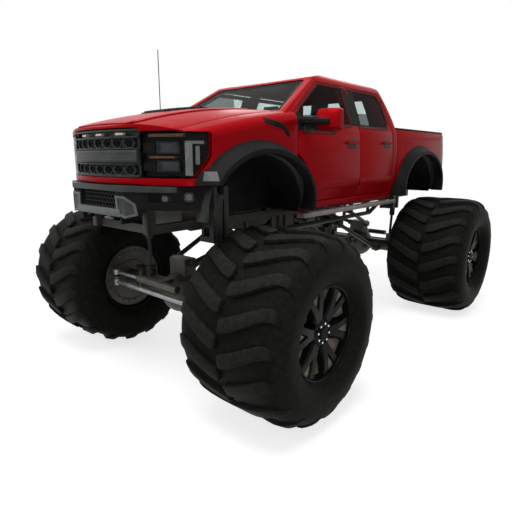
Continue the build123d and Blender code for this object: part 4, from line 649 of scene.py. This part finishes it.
def nose_wall():
    plan = []
    for step in range(NOSE_ARC_STEPS):
        y = NOSE_HALF * step / NOSE_ARC_STEPS
        plan.append(Vector((nose_x(y), y)))
    for step in range(NOSE_WRAP_STEPS + 1):
        share = step / NOSE_WRAP_STEPS
        low = NOSE_CORNER * (1 - share) * (1 - 2 * share) + NOSE_SIDE * share * (2 * share - 1)
        plan.append(low + NOSE_WRAP * 4 * share * (1 - share))
    plan = [Vector((x, -y)) for x, y in reversed(plan[1:])] + plan
    points = [(x, y, z) for x, y in plan for z in NOSE_Z]
    faces = [(2 * i, 2 * i + 2, 2 * i + 3, 2 * i + 1) for i in range(len(plan) - 1)]
    return BVHTree.FromPolygons(points, faces)


NOSE = nose_wall()


def nose_bar(build, start_y, end_y, section, steps=16):
    """Bar that follows the nose: its section is (forward, z)."""
    rows = []
    for step in range(steps + 1):
        y = start_y + (end_y - start_y) * step / steps
        rows.append([(nose_x(y) + forward, y, z) for forward, z in section])
    build.loft(rows)


# Open six-sided cells; a cell is (half width, half height, wall, distance behind the face, depth)
HEXAGON = [(-1, 0), (-0.5, -1), (0.5, -1), (1, 0), (0.5, 1), (-0.5, 1)]
CELL_CHAMFER = 0.003


def add_hexagon(build, y, z, cell, face):
    """Cell whose front follows a face, given as x for each y."""
    half_y, half_z, wall, behind, depth = cell
    inner = 1 - wall / half_y
    rings = []
    for shrink, back in ((1, depth), (1, 0), (inner, CELL_CHAMFER), (inner, depth)):
        ring = []
        for u, v in HEXAGON:
            place = y + u * half_y * shrink
            ring.append((face(place) - behind - back, place, z + v * half_z * shrink))
        rings.append(ring)
    build.grid(rings, True, True)


def bar_section(low, high, front, back=-0.055, edge=0.006):
    inset = front - edge
    upper = [(front, high - edge), (inset, high), (back, high)]
    return [(back, low), (inset, low), (front, low + edge)] + upper


# Grille: two rows of cells about a wide bare bar, with three marker lamps above
GRILLE_HALF = 0.512
GRILLE_Z = (2.107, 2.503)
END_WIDTH = 0.022
GRILLE_END = bar_section(*GRILLE_Z, front=-0.022)
GRILLE_BACK = bar_section(*GRILLE_Z, front=-0.06, back=-0.085)
# Columns: low, high, front
GRILLE_BARS = [
    (2.107, 2.128, 0.004), (2.212, 2.224, 0.0), (2.338, 2.35, 0.0), (2.432, 2.444, 0.002),
    (2.486, 2.503, 0.0),
]
THIN_EDGE = 0.003
CELL_ROWS = (2.17, 2.392)
CELL_PITCH = 0.136
CELL_REACH = 3
CELLS = [(0.066, 0.043, 0.01, 0.008, 0.04), (0.04, 0.026, 0.005, 0.03, 0.022)]
POST_HALF = (0.006, 0.046)
WIDE_BAR_HALF = 0.497
WIDE_BAR = bar_section(2.228, 2.334, front=0.008, edge=0.012)
RIB_HALF = 0.47
RIBS = [bar_section(low, high, front=0.011, back=-0.02, edge=0.002)
        for low, high in ((2.246, 2.254), (2.308, 2.316))]
WIDE_STEPS = 24
MARKER_PLACES = (-0.25, 0.03, 0.31)
MARKER_HALF = 0.045
MARKER_SECTION = bar_section(2.453, 2.474, front=-0.002, back=-0.03, edge=THIN_EDGE)


def make_grille():
    bars = Build()
    for low, high, front in GRILLE_BARS:
        nose_bar(bars, -GRILLE_HALF, GRILLE_HALF, bar_section(low, high, front, edge=THIN_EDGE))
    for sign in (-1, 1):
        ends = sorted((sign * GRILLE_HALF, sign * (GRILLE_HALF - END_WIDTH)))
        nose_bar(bars, *ends, GRILLE_END, 2)
    for row in CELL_ROWS:
        for index in range(-CELL_REACH, CELL_REACH + 1):
            for cell in CELLS:
                add_hexagon(bars, index * CELL_PITCH, row, cell, nose_x)
        low, high = row - POST_HALF[1], row + POST_HALF[1]
        post = bar_section(low, high, front=-0.012, back=-0.045, edge=THIN_EDGE)
        for index in range(-CELL_REACH, CELL_REACH):
            y = (index + 0.5) * CELL_PITCH
            nose_bar(bars, y - POST_HALF[0], y + POST_HALF[0], post, 1)
    bars.object("grille_mesh", TRIM, slot="grille_plastic", replaces=("grille",))
    bar = Build()
    nose_bar(bar, -WIDE_BAR_HALF, WIDE_BAR_HALF, WIDE_BAR, WIDE_STEPS)
    for rib in RIBS:
        nose_bar(bar, -RIB_HALF, RIB_HALF, rib, WIDE_STEPS)
    bar.object("grille_bar", DARK_GREY, slot="grille_plastic")
    back = Build()
    nose_bar(back, -GRILLE_HALF, GRILLE_HALF, GRILLE_BACK)
    back.object("grille_back", LINER, slot="grille_plastic")
    markers = Build()
    for y in MARKER_PLACES:
        nose_bar(markers, y - MARKER_HALF, y + MARKER_HALF, MARKER_SECTION, 4)
    markers.object("grille_markers", MARKER, slot="lamp_cover")


# Headlamps: dark bowl, two stacked projector boxes, strips and a hooked light bar under a clear cover
LAMP_OUTLINE = [
    (2.755, 0.52, 2.468), (2.4, 1.002, 2.468), (2.405, 1.0, 2.29), (2.528, 0.945, 2.112),
    (2.68, 0.74, 2.112), (2.755, 0.52, 2.112),
]
LAMP_SIGHT = (-0.8, -0.6)
LAMP_X = 2.6
BOWL = 0.05
BOWL_EDGE = 0.003
BOWL_SKIRT = 0.004
COVER_TRIM = (-0.001, 0.004)
# Rectangles between two half widths and two heights
PROJECTORS = [(0.665, 0.855, 2.3, 2.397), (0.665, 0.855, 2.157, 2.247)]
LAMP_LENSES = [(y0 + 0.045, y1 - 0.012, z0 + 0.012, z1 - 0.012) for y0, y1, z0, z1 in PROJECTORS]
INNER_BOXES = [(0.54, y0 - 0.01, z0 + 0.01, z1 - 0.01) for y0, _, z0, z1 in PROJECTORS]
LAMP_STRIPS = [(0.6, 0.82, 2.266, 2.284), (0.6, 0.89, 2.436, 2.46)]
LAMP_BAR = [(0.897, 0.937, 2.126, 2.403), (0.897, 0.985, 2.378, 2.403)]
LAMP_GLOW = [(0.951, 0.968, 2.215, 2.365)]
# Columns: name, rectangles, material, lift from the nose
LAMP_PLATES = [
    ("boxes", PROJECTORS, TRIM, -0.016),
    ("lenses", LAMP_LENSES, PROJECTOR, -0.01),
    ("inner_boxes", INNER_BOXES, SATIN, -0.024),
    ("strips", LAMP_STRIPS, AMBER, -0.014),
    ("bar", LAMP_BAR, LIGHT_BAR, -0.007),
    ("glow", LAMP_GLOW, LIGHT_BAR, -0.018),
]


def on_nose(y0, y1, z0, z1):
    """Rectangle set on the nose, so that it can be looked at slantwise."""
    corners = [(y0, z0), (y1, z0), (y1, z1), (y0, z1)]
    return [tuple(laid(NOSE, Vector((LAMP_X, y, z)), Vector((-1, 0, 0)), 0)) for y, z in corners]


def make_headlamp(side, sign):
    sight = (LAMP_SIGHT[0], sign * LAMP_SIGHT[1], 0)
    outline = mirrored(LAMP_OUTLINE, sign)
    bowl = Build()
    patch(bowl, NOSE, outline, sight, -BOWL, BOWL + BOWL_SKIRT)
    rim = stepped(outline, True)
    aim = Vector(sight).normalized()
    wall = [[laid(NOSE, point, aim, lift) for point in rim] for lift in (-BOWL, -BOWL_EDGE)]
    bowl.grid(wall, False, True)
    bowl.object(f"headlamp_bowl_{side}", GLOSS, slot="lamp_cover", replaces=("headlamps",))
    for name, rectangles, material, lift in LAMP_PLATES:
        plate = Build()
        for rectangle in rectangles:
            patch(plate, NOSE, mirrored(on_nose(*rectangle), sign), sight, lift, BOWL)
        plate.object(f"headlamp_{name}_{side}", material, slot="lamp_cover")
    make_plate(f"headlamp_cover_{side}", NOSE, outline, sight, COVER_TRIM, LENS, slot="lamp_cover")


# Front bumper: grey loops and lower bar over the dark wings, a darker lip, mesh and fog lamps
BUMPER_FRONT = 2.88
BUMPER_FLAT = 0.43
BUMPER_SWEEP = 0.5
BUMPER_EDGE = 0.005
LIP_Z = 1.985
LOOP_PROUD = 0.006
INSET_PROUD = 0.001
MESH_ROWS = (1.868, 1.905, 1.942, 1.979)
MESH_PITCH = 0.052
MESH_REACH = 5
MESH_X = 2.856
MESH_CELL = (0.03, 0.022, 0.006, 0.0, 0.02)
FOG_SIGHT = (-0.75, -0.66)
FOG_PLACES = ((2.69, 0.742, 1.942), (2.56, 0.88, 1.955))
FOG_SLANT = 0.7
FOG_DEPTH = 0.004
# Half size, lift
FOG_BEZEL = (0.04, 0.01)
FOG_LIGHT = (0.024, 0.018)
FOG_CORNERS = cut_corners(0.6, 0.6)


def bumper_x(y):
    """Front of the bumper for each half width."""
    return BUMPER_FRONT - max(0, abs(y) - BUMPER_FLAT) * BUMPER_SWEEP


def bumper_coat(centre):
    """Material of a bumper face: 1 grey for the loops and lower bar, 2 for the lip and the loops' insets."""
    proud = centre.x - bumper_x(centre.y)
    if centre.z < LIP_Z and proud > LOOP_PROUD:
        return 1
    return 2 if centre.z > LIP_Z or proud > INSET_PROUD else 0


def make_bumper():
    shell = rounded("front_bumper", BUMPER_EDGE, 2, SATIN).data
    shell.materials.append(GREY)
    shell.materials.append(DARK_GREY)
    for face in shell.polygons:
        face.material_index = bumper_coat(face.center)
    mesh = Build()
    for row, z in enumerate(MESH_ROWS):
        for index in range(-MESH_REACH, MESH_REACH + 1):
            y = (index + 0.5 * (row % 2)) * MESH_PITCH
            add_hexagon(mesh, y, z, MESH_CELL, lambda place: MESH_X)
    mesh.object("bumper_mesh", TRIM, slot="bumper_steel")
    skin = skin_of("front_bumper")
    bezels, lights = Build(), Build()
    for sign in (1, -1):
        sight = (FOG_SIGHT[0], FOG_SIGHT[1] * sign, 0)
        for x, y, z in FOG_PLACES:
            for build, (half, lift) in ((bezels, FOG_BEZEL), (lights, FOG_LIGHT)):
                corners = []
                for u, v in FOG_CORNERS:
                    along = u * half * FOG_SLANT
                    corners.append((x - along, sign * (y + along), z + v * half))
                patch(build, skin, corners, sight, lift, FOG_DEPTH)
    bezels.object("fog_bezels", GLOSS, slot="lamp_cover")
    lights.object("fog_lights", GREY, slot="lamp_cover")


make_grille()
for row in SIDES:
    make_headlamp(*row)
make_bumper()


# Cab trim: window seals, pillars, handles, vents, markers; outlines are (x, z) on the truck's side
SIDE_Y = 1.0
FRONT_WINDOW = [
    (1.127, 2.53), (0.56, 2.53), (0.43, 2.61), (0.142, 2.625), (0.112, 3.06), (0.599, 3.06),
    (1.127, 2.752),
]
REAR_WINDOW = [
    (-0.08, 2.625), (-0.15, 3.06), (-0.75, 3.06), (-0.843, 2.95), (-0.843, 2.71), (-0.763, 2.625),
]
WINDOW_CORNER = 0.04
CORNER_STEPS = 4
SEAL_WIDTH = 0.04
# Dark plates on the door frames: door, name, outline
FRAME_PLATES = [
    ("front", "pillar", [(-0.012, 2.632), (0.136, 2.632), (0.106, 3.07), (-0.012, 3.07)]),
    ("rear", "pillar", [(-0.028, 2.632), (-0.076, 2.632), (-0.146, 3.07), (-0.028, 3.07)]),
    ("front", "sail", [(1.128, 2.536), (1.226, 2.536), (1.226, 2.69), (1.128, 2.744)]),
]
CAB_POST = [(-0.034, 2.61), (0.012, 2.61), (0.012, 3.088), (-0.034, 3.088)]
# Handles: door, x, z; their outlines lie about that place
HANDLES = (("front", 0.165, 2.43), ("rear", -0.745, 2.445))
CUP = [(-0.105, -0.056), (0.095, -0.06), (0.105, 0.04), (-0.1, 0.044)]
GRIP = [(-0.13, -0.008), (0.125, -0.012), (0.13, 0.016), (-0.125, 0.02)]
GRIP_ENDS = (-0.112, 0.108)
GRIP_FOOT = [(-0.018, -0.008), (0.018, -0.008), (0.018, 0.014), (-0.018, 0.014)]
FENDER_VENT = [(1.74, 2.604), (1.47, 2.558), (1.385, 2.48)]
VENT_WIDTH = 0.05
SIDE_MARKER = [(2.52, 2.085), (2.44, 2.085), (2.415, 2.16), (2.48, 2.16)]
# Lift from the skin and depth in it
FLAT_TRIM = (0.003, 0.002)
CUP_TRIM = (0.002, 0.003)
GRIP_TRIM = (0.03, -0.012)
FOOT_TRIM = (0.022, 0.002)
VENT_TRIM = (0.006, 0.004)
MARKER_TRIM = (0.004, 0.003)


def softened(points, radius):
    """Route with its corners rounded."""
    found = []
    for index, point in enumerate(points):
        corner = Vector(point)
        before = Vector(points[index - 1]) - corner
        after = Vector(points[(index + 1) % len(points)]) - corner
        start, end = corner + before.normalized() * radius, corner + after.normalized() * radius
        for step in range(CORNER_STEPS + 1):
            share = step / CORNER_STEPS
            found.append(start * (1 - share) ** 2 + corner * 2 * share * (1 - share) + end * share**2)
    return found


def side_outline(points, sign, x=0, z=0):
    return [(x + along, sign * SIDE_Y, z + up) for along, up in points]


def make_side_trim(side, sign):
    sight = (0, -sign, 0)
    for door, window in (("front", FRONT_WINDOW), ("rear", REAR_WINDOW)):
        node = f"{door}_door_{side}"
        skin = skin_of(node, f"{door}_door_glass_{side}")
        route = softened(side_outline(window, sign), WINDOW_CORNER)
        make_band(f"{node}_seal", skin, route, SEAL_WIDTH, sight, FLAT_TRIM, SATIN, node)

    def side_plate(name, skin, points, trim, material, place=(0, 0), **options):
        make_plate(name, skin, side_outline(points, sign, *place), sight, trim, material, **options)

    doors = skin_of(f"front_door_{side}", f"rear_door_{side}")
    for door, name, points in FRAME_PLATES:
        side_plate(f"{door}_{name}_{side}", doors, points, FLAT_TRIM, SATIN, body=f"{door}_door_{side}")
    for door, x, z in HANDLES:
        node = f"{door}_door_{side}"
        # The cup is a flat gloss-black plate behind the grip: painted shade of the handle's recess
        side_plate(f"{node}_recess_shade", doors, CUP, CUP_TRIM, GLOSS, (x, z), body=node)
        grip = Build()
        patch(grip, doors, side_outline(GRIP, sign, x, z), sight, *GRIP_TRIM)
        for end in GRIP_ENDS:
            patch(grip, doors, side_outline(GRIP_FOOT, sign, x + end, z), sight, *FOOT_TRIM)
        grip.object(f"{node}_handle", PAINT, node, "body_paint")
    route = side_outline(FENDER_VENT, sign)
    fenders = skin_of("front_fenders")
    make_band(f"fender_vent_{side}", fenders, route, VENT_WIDTH, sight, VENT_TRIM, SATIN, closed=False)
    flares = skin_of("wheel_flares")
    side_plate(f"side_marker_{side}", flares, SIDE_MARKER, MARKER_TRIM, SMOKED, slot="lamp_cover")
    side_plate(f"cab_post_{side}", skin_of("cab_sides"), CAB_POST, FLAT_TRIM, SATIN)


# Dark band round the windscreen
SCREEN_ROUTE = [(1.318, -0.812, 2.735), (1.318, 0.812, 2.735), (0.702, 0.65, 3.095), (0.702, -0.65, 3.095)]
SCREEN_SIGHT = (-0.5045, 0, -0.8633)
SCREEN_BAND = 0.05
SCREEN_TRIM = (0.002, 0.001)
SCREEN_SKIN = skin_of("cab_glass")
make_band("windscreen_band", SCREEN_SKIN, SCREEN_ROUTE, SCREEN_BAND, SCREEN_SIGHT, SCREEN_TRIM, SATIN)


# Dark edging round the cut edges of the wheel arches
ARCH_Z = 1.84
ARCH_FOOT_Z = 1.745
ARCH_PLACES = (1.79, -1.85)
ARCH_HALF = (0.696, 0.471)
ARCH_STEPS = 40
ARCH_EDGE_Y = (0.88, 1.035)


def make_arch_edging():
    build = Build()
    for centre in ARCH_PLACES:
        for sign in (-1, 1):
            route = [(centre + ARCH_HALF[0], ARCH_FOOT_Z)]
            for step in range(ARCH_STEPS + 1):
                angle = pi * step / ARCH_STEPS
                route.append((centre + ARCH_HALF[0] * cos(angle), ARCH_Z + ARCH_HALF[1] * sin(angle)))
            route.append((centre - ARCH_HALF[0], ARCH_FOOT_Z))
            build.grid([[(x, sign * y, z) for y in ARCH_EDGE_Y] for x, z in route])
    edging = build.object("arch_edging", LINER)
    wall = edging.modifiers.new("wall", "SOLIDIFY")
    wall.thickness = 0.004
    wall.offset = 0.0


make_arch_edging()
for row in SIDES:
    make_side_trim(*row)


# Mirrors: painted shell with a dark arm in front and glass behind
SHELL_X = 1.03
SHELL_Z = 2.638
SHELL_HALF = (0.078, 0.108)
SHELL_SECTION = [
    (-0.6, -1), (0.55, -1), (0.9, -0.8), (1, -0.2), (0.95, 0.5), (0.6, 0.95), (0.1, 1), (-0.6, 0.97),
]
# Columns: y, size, shift forward; the end ring lies on the node's box
SHELL_RINGS = [(1.122, 0.86, 0.006), (1.134, 0.97, 0.002), (1.23, 1.0, 0.0), (1.335, 0.96, -0.004)]
SHELL_END = (0.84, -0.01)
ARM_SECTION = [(-1, -1), (0.7, -1), (1, -0.6), (1, 0.6), (0.7, 1), (-1, 1)]
# Columns: place, half length, half height
ARM_RINGS = [((1.14, 0.955, 2.628), 0.056, 0.04), ((1.094, 1.28, 2.614), 0.03, 0.026)]
GLASS_PLACE = (0.984, 1.238, 2.638)
GLASS_HALF = (0.098, 0.086)
GLASS_CORNERS = cut_corners(0.8, 0.8)
GLASS_RINGS = [(0.05, 0.006), (0.9, 0.006), (0.98, 0.003), (1.0, -0.012)]


def make_mirror(side, sign):
    low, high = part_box(f"mirror_{side}")
    body = f"front_door_{side}"
    rings = SHELL_RINGS + [(max(abs(low.y), abs(high.y)), *SHELL_END)]
    shell = Build()
    shell.loft([[(SHELL_X + shift + SHELL_HALF[0] * u * grow, sign * y, SHELL_Z + SHELL_HALF[1] * v * grow)
                 for u, v in SHELL_SECTION] for y, grow, shift in rings])
    shell.object(f"mirror_shell_{side}", PAINT, body, "body_paint", bevel=0.014, segments=3, sharp=30,
                 replaces=(f"mirror_{side}",))
    arm = Build()
    arm.loft([[(x + half_x * u, sign * y, z + half_z * v) for u, v in ARM_SECTION]
              for (x, y, z), half_x, half_z in ARM_RINGS])
    arm.object(f"mirror_arm_{side}", SATIN, body, bevel=0.008, segments=3, sharp=30)
    glass = Build()
    add_back_plate(glass, GLASS_PLACE, GLASS_HALF, GLASS_CORNERS, GLASS_RINGS, sign)
    glass.object(f"mirror_glass_{side}", MIRROR, body, "window_glass")


# Load bed: rail caps, filler flap, tailgate handle
RAIL_CAP = [(0.89, 2.636), (0.974, 2.636), (0.974, 2.65), (0.962, 2.66), (0.902, 2.66), (0.89, 2.65)]
RAIL_CAP_INSET = 0.004
FLAP_PLACE = (-1.4, 2.395)
FLAP_HALF = (0.088, 0.1)
FLAP_POINTS = 24
FLAP_LINE = 0.006
FLAP_TRIM = (0.0012, 0.001)
PULL_Z = 2.47
PULL_HALF = (0.14, 0.048)
PULL_CORNERS = cut_corners(0.94, 0.7)
PULL_RINGS = [(0.05, 0.003), (0.8, 0.003), (0.86, 0.012), (0.97, 0.012), (1.0, 0.008), (1.0, -0.006)]


def make_bed_trim():
    low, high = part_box("bed_sides")
    ends = (low.x + RAIL_CAP_INSET, high.x - RAIL_CAP_INSET)
    caps = Build()
    for sign in (-1, 1):
        caps.loft([[(x, sign * y, z) for y, z in RAIL_CAP] for x in ends])
    caps.object("bed_rail_caps", SATIN, bevel=0.003)
    ring = []
    for index in range(FLAP_POINTS):
        angle = index * pi / (FLAP_POINTS / 2)
        x, z = FLAP_PLACE[0] + FLAP_HALF[0] * cos(angle), FLAP_PLACE[1] + FLAP_HALF[1] * sin(angle)
        ring.append((x, SIDE_Y, z))
    make_band("filler_flap", skin_of("bed_sides"), ring, FLAP_LINE, (0, -1, 0), FLAP_TRIM, SATIN)
    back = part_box("tailgate")[0].x
    handle = Build()
    add_back_plate(handle, (back, 0, PULL_Z), PULL_HALF, PULL_CORNERS, PULL_RINGS)
    handle.object("tailgate_handle", SATIN, "tailgate", bevel=0.002)


for row in SIDES:
    make_mirror(*row)
make_bed_trim()


# Hood dome and vent, and the low moulding of the doors
DOWN = (0, 0, -1)
HOOD_Z = 2.7
HOOD_SHARP = 50
DOME_HALF = [(2.79, 0.455), (2.6, 0.475), (2.38, 0.5), (1.95, 0.545), (1.52, 0.585)]
DOME_TRIM = (0.013, 0.002)
HOOD_VENT = [(2.23, 0.2), (1.8, 0.31), (1.8, -0.31), (2.23, -0.2)]
HOOD_VENT_TRIM = (0.024, 0.003)
VENT_BACK = 1.8
SLATS = (1.86, 1.94, 2.02, 2.1, 2.18)
SLAT_HALF = 0.29
SLAT_TAPER = 0.256
SLAT_WIDTH = 0.034
SLAT_TRIM = (0.034, 0.012)


def make_hood_trim():
    skin = skin_of("hood")
    outline = [(x, y, HOOD_Z) for x, y in DOME_HALF]
    outline += [(x, -y, z) for x, y, z in reversed(outline)]
    make_plate("hood_dome", skin, outline, DOWN, DOME_TRIM, PAINT, "hood", "body_paint", HOOD_SHARP)
    outline = [(x, y, HOOD_Z) for x, y in HOOD_VENT]
    make_plate("hood_vent", skin, outline, DOWN, HOOD_VENT_TRIM, SATIN, "hood", sharp=HOOD_SHARP)
    slats = Build()
    for x in SLATS:
        half = SLAT_HALF - SLAT_TAPER * (x - VENT_BACK)
        strip(slats, skin, [(x, -half, HOOD_Z), (x, half, HOOD_Z)], SLAT_WIDTH, DOWN, *SLAT_TRIM, False)
    slats.object("hood_vent_slats", TRIM, "hood")


# Columns: height from the middle, lift from the skin
MOULDING = [(0.05, -0.004), (0.048, 0.001), (-0.034, 0.02), (-0.046, 0.016), (-0.052, -0.004)]
MOULDING_ENDS = (("front", 1.205, -0.002), ("rear", -0.04, -0.88))
MOULDING_Z = 1.974
MOULDING_STEPS = 12


def make_mouldings():
    for side, sign in SIDES:
        for door, start, end in MOULDING_ENDS:
            node = f"{door}_door_{side}"
            skin = skin_of(node)
            rings = []
            for step in range(MOULDING_STEPS + 1):
                x = start + (end - start) * step / MOULDING_STEPS
                rings.append([laid(skin, Vector((x, sign, MOULDING_Z + rise)), Vector((0, -sign, 0)), lift)
                              for rise, lift in MOULDING])
            moulding = Build()
            moulding.loft(rings)
            moulding.object(f"{node}_moulding", PAINT, node, "body_paint")


make_hood_trim()
make_mouldings()


# Seats: crowned pads with sewn channels on plain bases
PAD_CUTS = 11
PAD_CROWN = 0.16
PAD_PULL = 0.05
PAD_ROUND = 0.1
CHANNEL_DEPTH = 0.1
CHANNEL_WIDTH = 0.05


def make_pad(name, centre, half, lean, channels):
    """Closed crowned pad: half sizes along its width, depth and thickness; channels run across its width."""
    build = Build()
    mesh = build.mesh
    bmesh.ops.create_cube(mesh, size=2)
    bmesh.ops.subdivide_edges(mesh, edges=mesh.edges, cuts=PAD_CUTS, use_grid_fill=True)
    turn = Matrix.Rotation(radians(lean), 4, "Y")
    for vertex in mesh.verts:
        u, v, w = vertex.co
        crown = 1 - PAD_CROWN * (u**4 + v**4)
        pull_u = 1 - PAD_PULL * (1 - v * v)
        pull_v = 1 - PAD_PULL * (1 - u * u)
        round_side = 1 - PAD_ROUND * w * w
        dips = [CHANNEL_DEPTH / (1 + ((u - place) / CHANNEL_WIDTH) ** 2) for place in channels]
        groove = sum(dips) * (w > 0.5)
        shaped = Vector((u * pull_u * round_side, v * pull_v * round_side, (w - groove) * crown))
        sized = Vector((shaped.x * half[0], shaped.y * half[1], shaped.z * half[2]))
        vertex.co = turn @ sized + Vector(centre)
    pad = build.object(name, SEAT, slot="seat_cover", sharp=180)
    soft = pad.modifiers.new("smooth", "SUBSURF")
    soft.levels = 1
    soft.render_levels = 1


# Columns: name, centre, half sizes along x, y, z before the lean, lean in degrees, channels
FRONT_PADS = [
    ("cushion", (0.33, 0.4, 2.115), (0.235, 0.245, 0.065), -3, (-0.4, 0.3)),
    ("back", (0.06, 0.4, 2.47), (0.32, 0.235, 0.06), 82, (-0.3, 0.35)),
    ("headrest", (-0.025, 0.4, 2.865), (0.082, 0.118, 0.048), 84, ()),
]
BENCH_PADS = [
    ("cushion", (-0.55, 0.0, 2.125), (0.215, 0.68, 0.055), -2, (0.2,)),
    ("back", (-0.745, 0.0, 2.43), (0.27, 0.68, 0.04), 90, (0.1,)),
    ("headrest_left", (-0.765, 0.43, 2.77), (0.076, 0.115, 0.036), 90, ()),
    ("headrest_right", (-0.765, -0.43, 2.77), (0.076, 0.115, 0.036), 90, ()),
]
SEAT_Y = 0.4
SEAT_BASE = ((0.14, 1.8), (0.52, 2.055))
SEAT_BASE_HALF = 0.2
BENCH_BASE = ((-0.76, -0.68, 1.8), (-0.36, 0.68, 2.072))
BENCH_Y = 0.43
# Headrest posts: foot and tip as (x, z)
SEAT_POST = ((0.005, 2.74), (-0.02, 2.83))
BENCH_POST = ((-0.755, 2.66), (-0.762, 2.74))
POST_SHIFTS = (-0.05, 0.05)
POST_RADIUS = 0.007


def add_posts(build, middle, post):
    (foot_x, foot_z), (tip_x, tip_z) = post
    for shift in POST_SHIFTS:
        build.tube((foot_x, middle + shift, foot_z), (tip_x, middle + shift, tip_z), POST_RADIUS)


def make_seats():
    for side, sign in SIDES:
        for name, (x, y, z), half, lean, channels in FRONT_PADS:
            make_pad(f"front_seat_{name}_{side}", (x, sign * y, z), half, lean, channels)
    for name, centre, half, lean, channels in BENCH_PADS:
        make_pad(f"rear_seat_{name}", centre, half, lean, channels)
    bases = Build()
    (back, low), (front, high) = SEAT_BASE
    for sign in (-1, 1):
        middle = sign * SEAT_Y
        bases.box((back, middle - SEAT_BASE_HALF, low), (front, middle + SEAT_BASE_HALF, high))
        add_posts(bases, middle, SEAT_POST)
    bases.box(*BENCH_BASE)
    for sign in (-1, 1):
        add_posts(bases, sign * BENCH_Y, BENCH_POST)
    bases.object("seat_bases", SATIN, bevel=0.012, replaces=("seats",))


make_seats()


# Camera as the photograph's, found from the tyres and the body's lines
CAMERA_PLACE = Vector((4.965, 3.744, 2.286))
CAMERA_YAW = radians(221.512)
CAMERA_PITCH = radians(12.6)
CAMERA_LENS = 31.52


def aimed(name, data, place, look):
    made = linked(name, data)
    made.location = place
    made.rotation_mode = "QUATERNION"
    made.rotation_quaternion = look.to_track_quat("-Z", "Y")
    return made


def make_camera():
    data = bpy.data.cameras.new("camera")
    data.lens = CAMERA_LENS
    data.sensor_width = 36.0
    data.clip_end = 200
    level = cos(CAMERA_PITCH)
    look = Vector((level * cos(CAMERA_YAW), level * sin(CAMERA_YAW), -sin(CAMERA_PITCH)))
    bpy.context.scene.camera = aimed("camera", data, CAMERA_PLACE, look)


# Studio: pale floor, white surround, soft lamps
FILL = 0.22
SURROUND = 1.0


def shown_rays(tree):
    """1 where the camera, a reflection or glass looks, and 0 for the light that falls on the object."""
    path = add_node(tree, "LightPath")
    shown = path.outputs["Is Camera Ray"]
    for name in ("Is Glossy Ray", "Is Transmission Ray"):
        larger = add_node(tree, "Math")
        larger.operation = "MAXIMUM"
        tree.links.new(shown, larger.inputs[0])
        tree.links.new(path.outputs[name], larger.inputs[1])
        shown = larger.outputs[0]
    return shown


def make_world():
    world = bpy.data.worlds.new("studio")
    bpy.context.scene.world = world
    world.use_nodes = True
    tree = world.node_tree
    back = tree.nodes["Background"]
    put(back, {"Color": (1, 1, 1, 1)})
    tree.links.new(add_span(tree, shown_rays(tree), FILL, SURROUND), back.inputs["Strength"])


FLOOR_FADE = 9.0


def floor_material():
    """White far off, and near the object a glow with the object's shadow on it."""
    values = {"Base Color": (0.34, 0.34, 0.34, 1), "Roughness": 0.9, "Specular IOR Level": 0.0}
    made, tree, shader = new_material("floor_white", values)
    glow = add_node(tree, "Emission", {"Strength": 0.74})
    soft = add_node(tree, "BsdfDiffuse", {"Color": (0.6, 0.6, 0.6, 1)})
    both = add_node(tree, "AddShader")
    white = add_node(tree, "Emission")
    place = add_node(tree, "TexCoord")
    mapping = add_node(tree, "Mapping", {"Scale": (1 / FLOOR_FADE, 1 / FLOOR_FADE, 1)})
    fade = add_node(tree, "TexGradient")
    fade.gradient_type = "SPHERICAL"
    near = add_node(tree, "MapRange", {"From Max": 0.5})
    seen = add_node(tree, "MixShader")
    pick = add_node(tree, "MixShader")
    for source, target in (
        (glow.outputs[0], both.inputs[0]),
        (soft.outputs[0], both.inputs[1]),
        (place.outputs["Object"], mapping.inputs["Vector"]),
        (mapping.outputs["Vector"], fade.inputs["Vector"]),
        (fade.outputs["Fac"], near.inputs["Value"]),
        (near.outputs["Result"], seen.inputs["Fac"]),
        (white.outputs[0], seen.inputs[1]),
        (both.outputs[0], seen.inputs[2]),
        (shown_rays(tree), pick.inputs["Fac"]),
        (shader.outputs[0], pick.inputs[1]),
        (seen.outputs[0], pick.inputs[2]),
        (pick.outputs[0], tree.nodes["Material Output"].inputs["Surface"]),
    ):
        tree.links.new(source, target)
    return made


def make_floor():
    build = bmesh.new()
    bmesh.ops.create_grid(build, x_segments=1, y_segments=1, size=60)
    data = bpy.data.meshes.new("floor")
    build.to_mesh(data)
    build.free()
    data.materials.append(floor_material())
    floor = linked("floor", data)
    floor.location.z = -0.002


# Columns: name, place, aimed at, width, height, power
LAMPS = [
    ("key", (3.0, 1.0, 9.0), (0.5, 0.0, 2.0), 6.0, 6.0, 620),
    ("front", (8.5, -5.5, 5.0), (1.5, 0.0, 2.0), 5.0, 4.0, 150),
    ("low", (6.2, 5.6, 0.9), (1.9, 0.3, 1.1), 3.0, 1.2, 55),
    ("side", (-2.0, 11.0, 5.0), (-0.5, 0.0, 2.0), 10.0, 4.0, 50),
    ("back", (-8.0, -5.0, 6.0), (0.0, 0.0, 2.0), 6.0, 5.0, 260),
]


def make_lamps():
    for name, place, target, width, height, power in LAMPS:
        data = bpy.data.lights.new(name, "AREA")
        data.shape = "RECTANGLE"
        data.size = width
        data.size_y = height
        data.energy = power
        aimed(name, data, place, Vector(target) - Vector(place))


make_camera()
make_world()
make_floor()
make_lamps()
bpy.context.scene.view_settings.view_transform = "Standard"
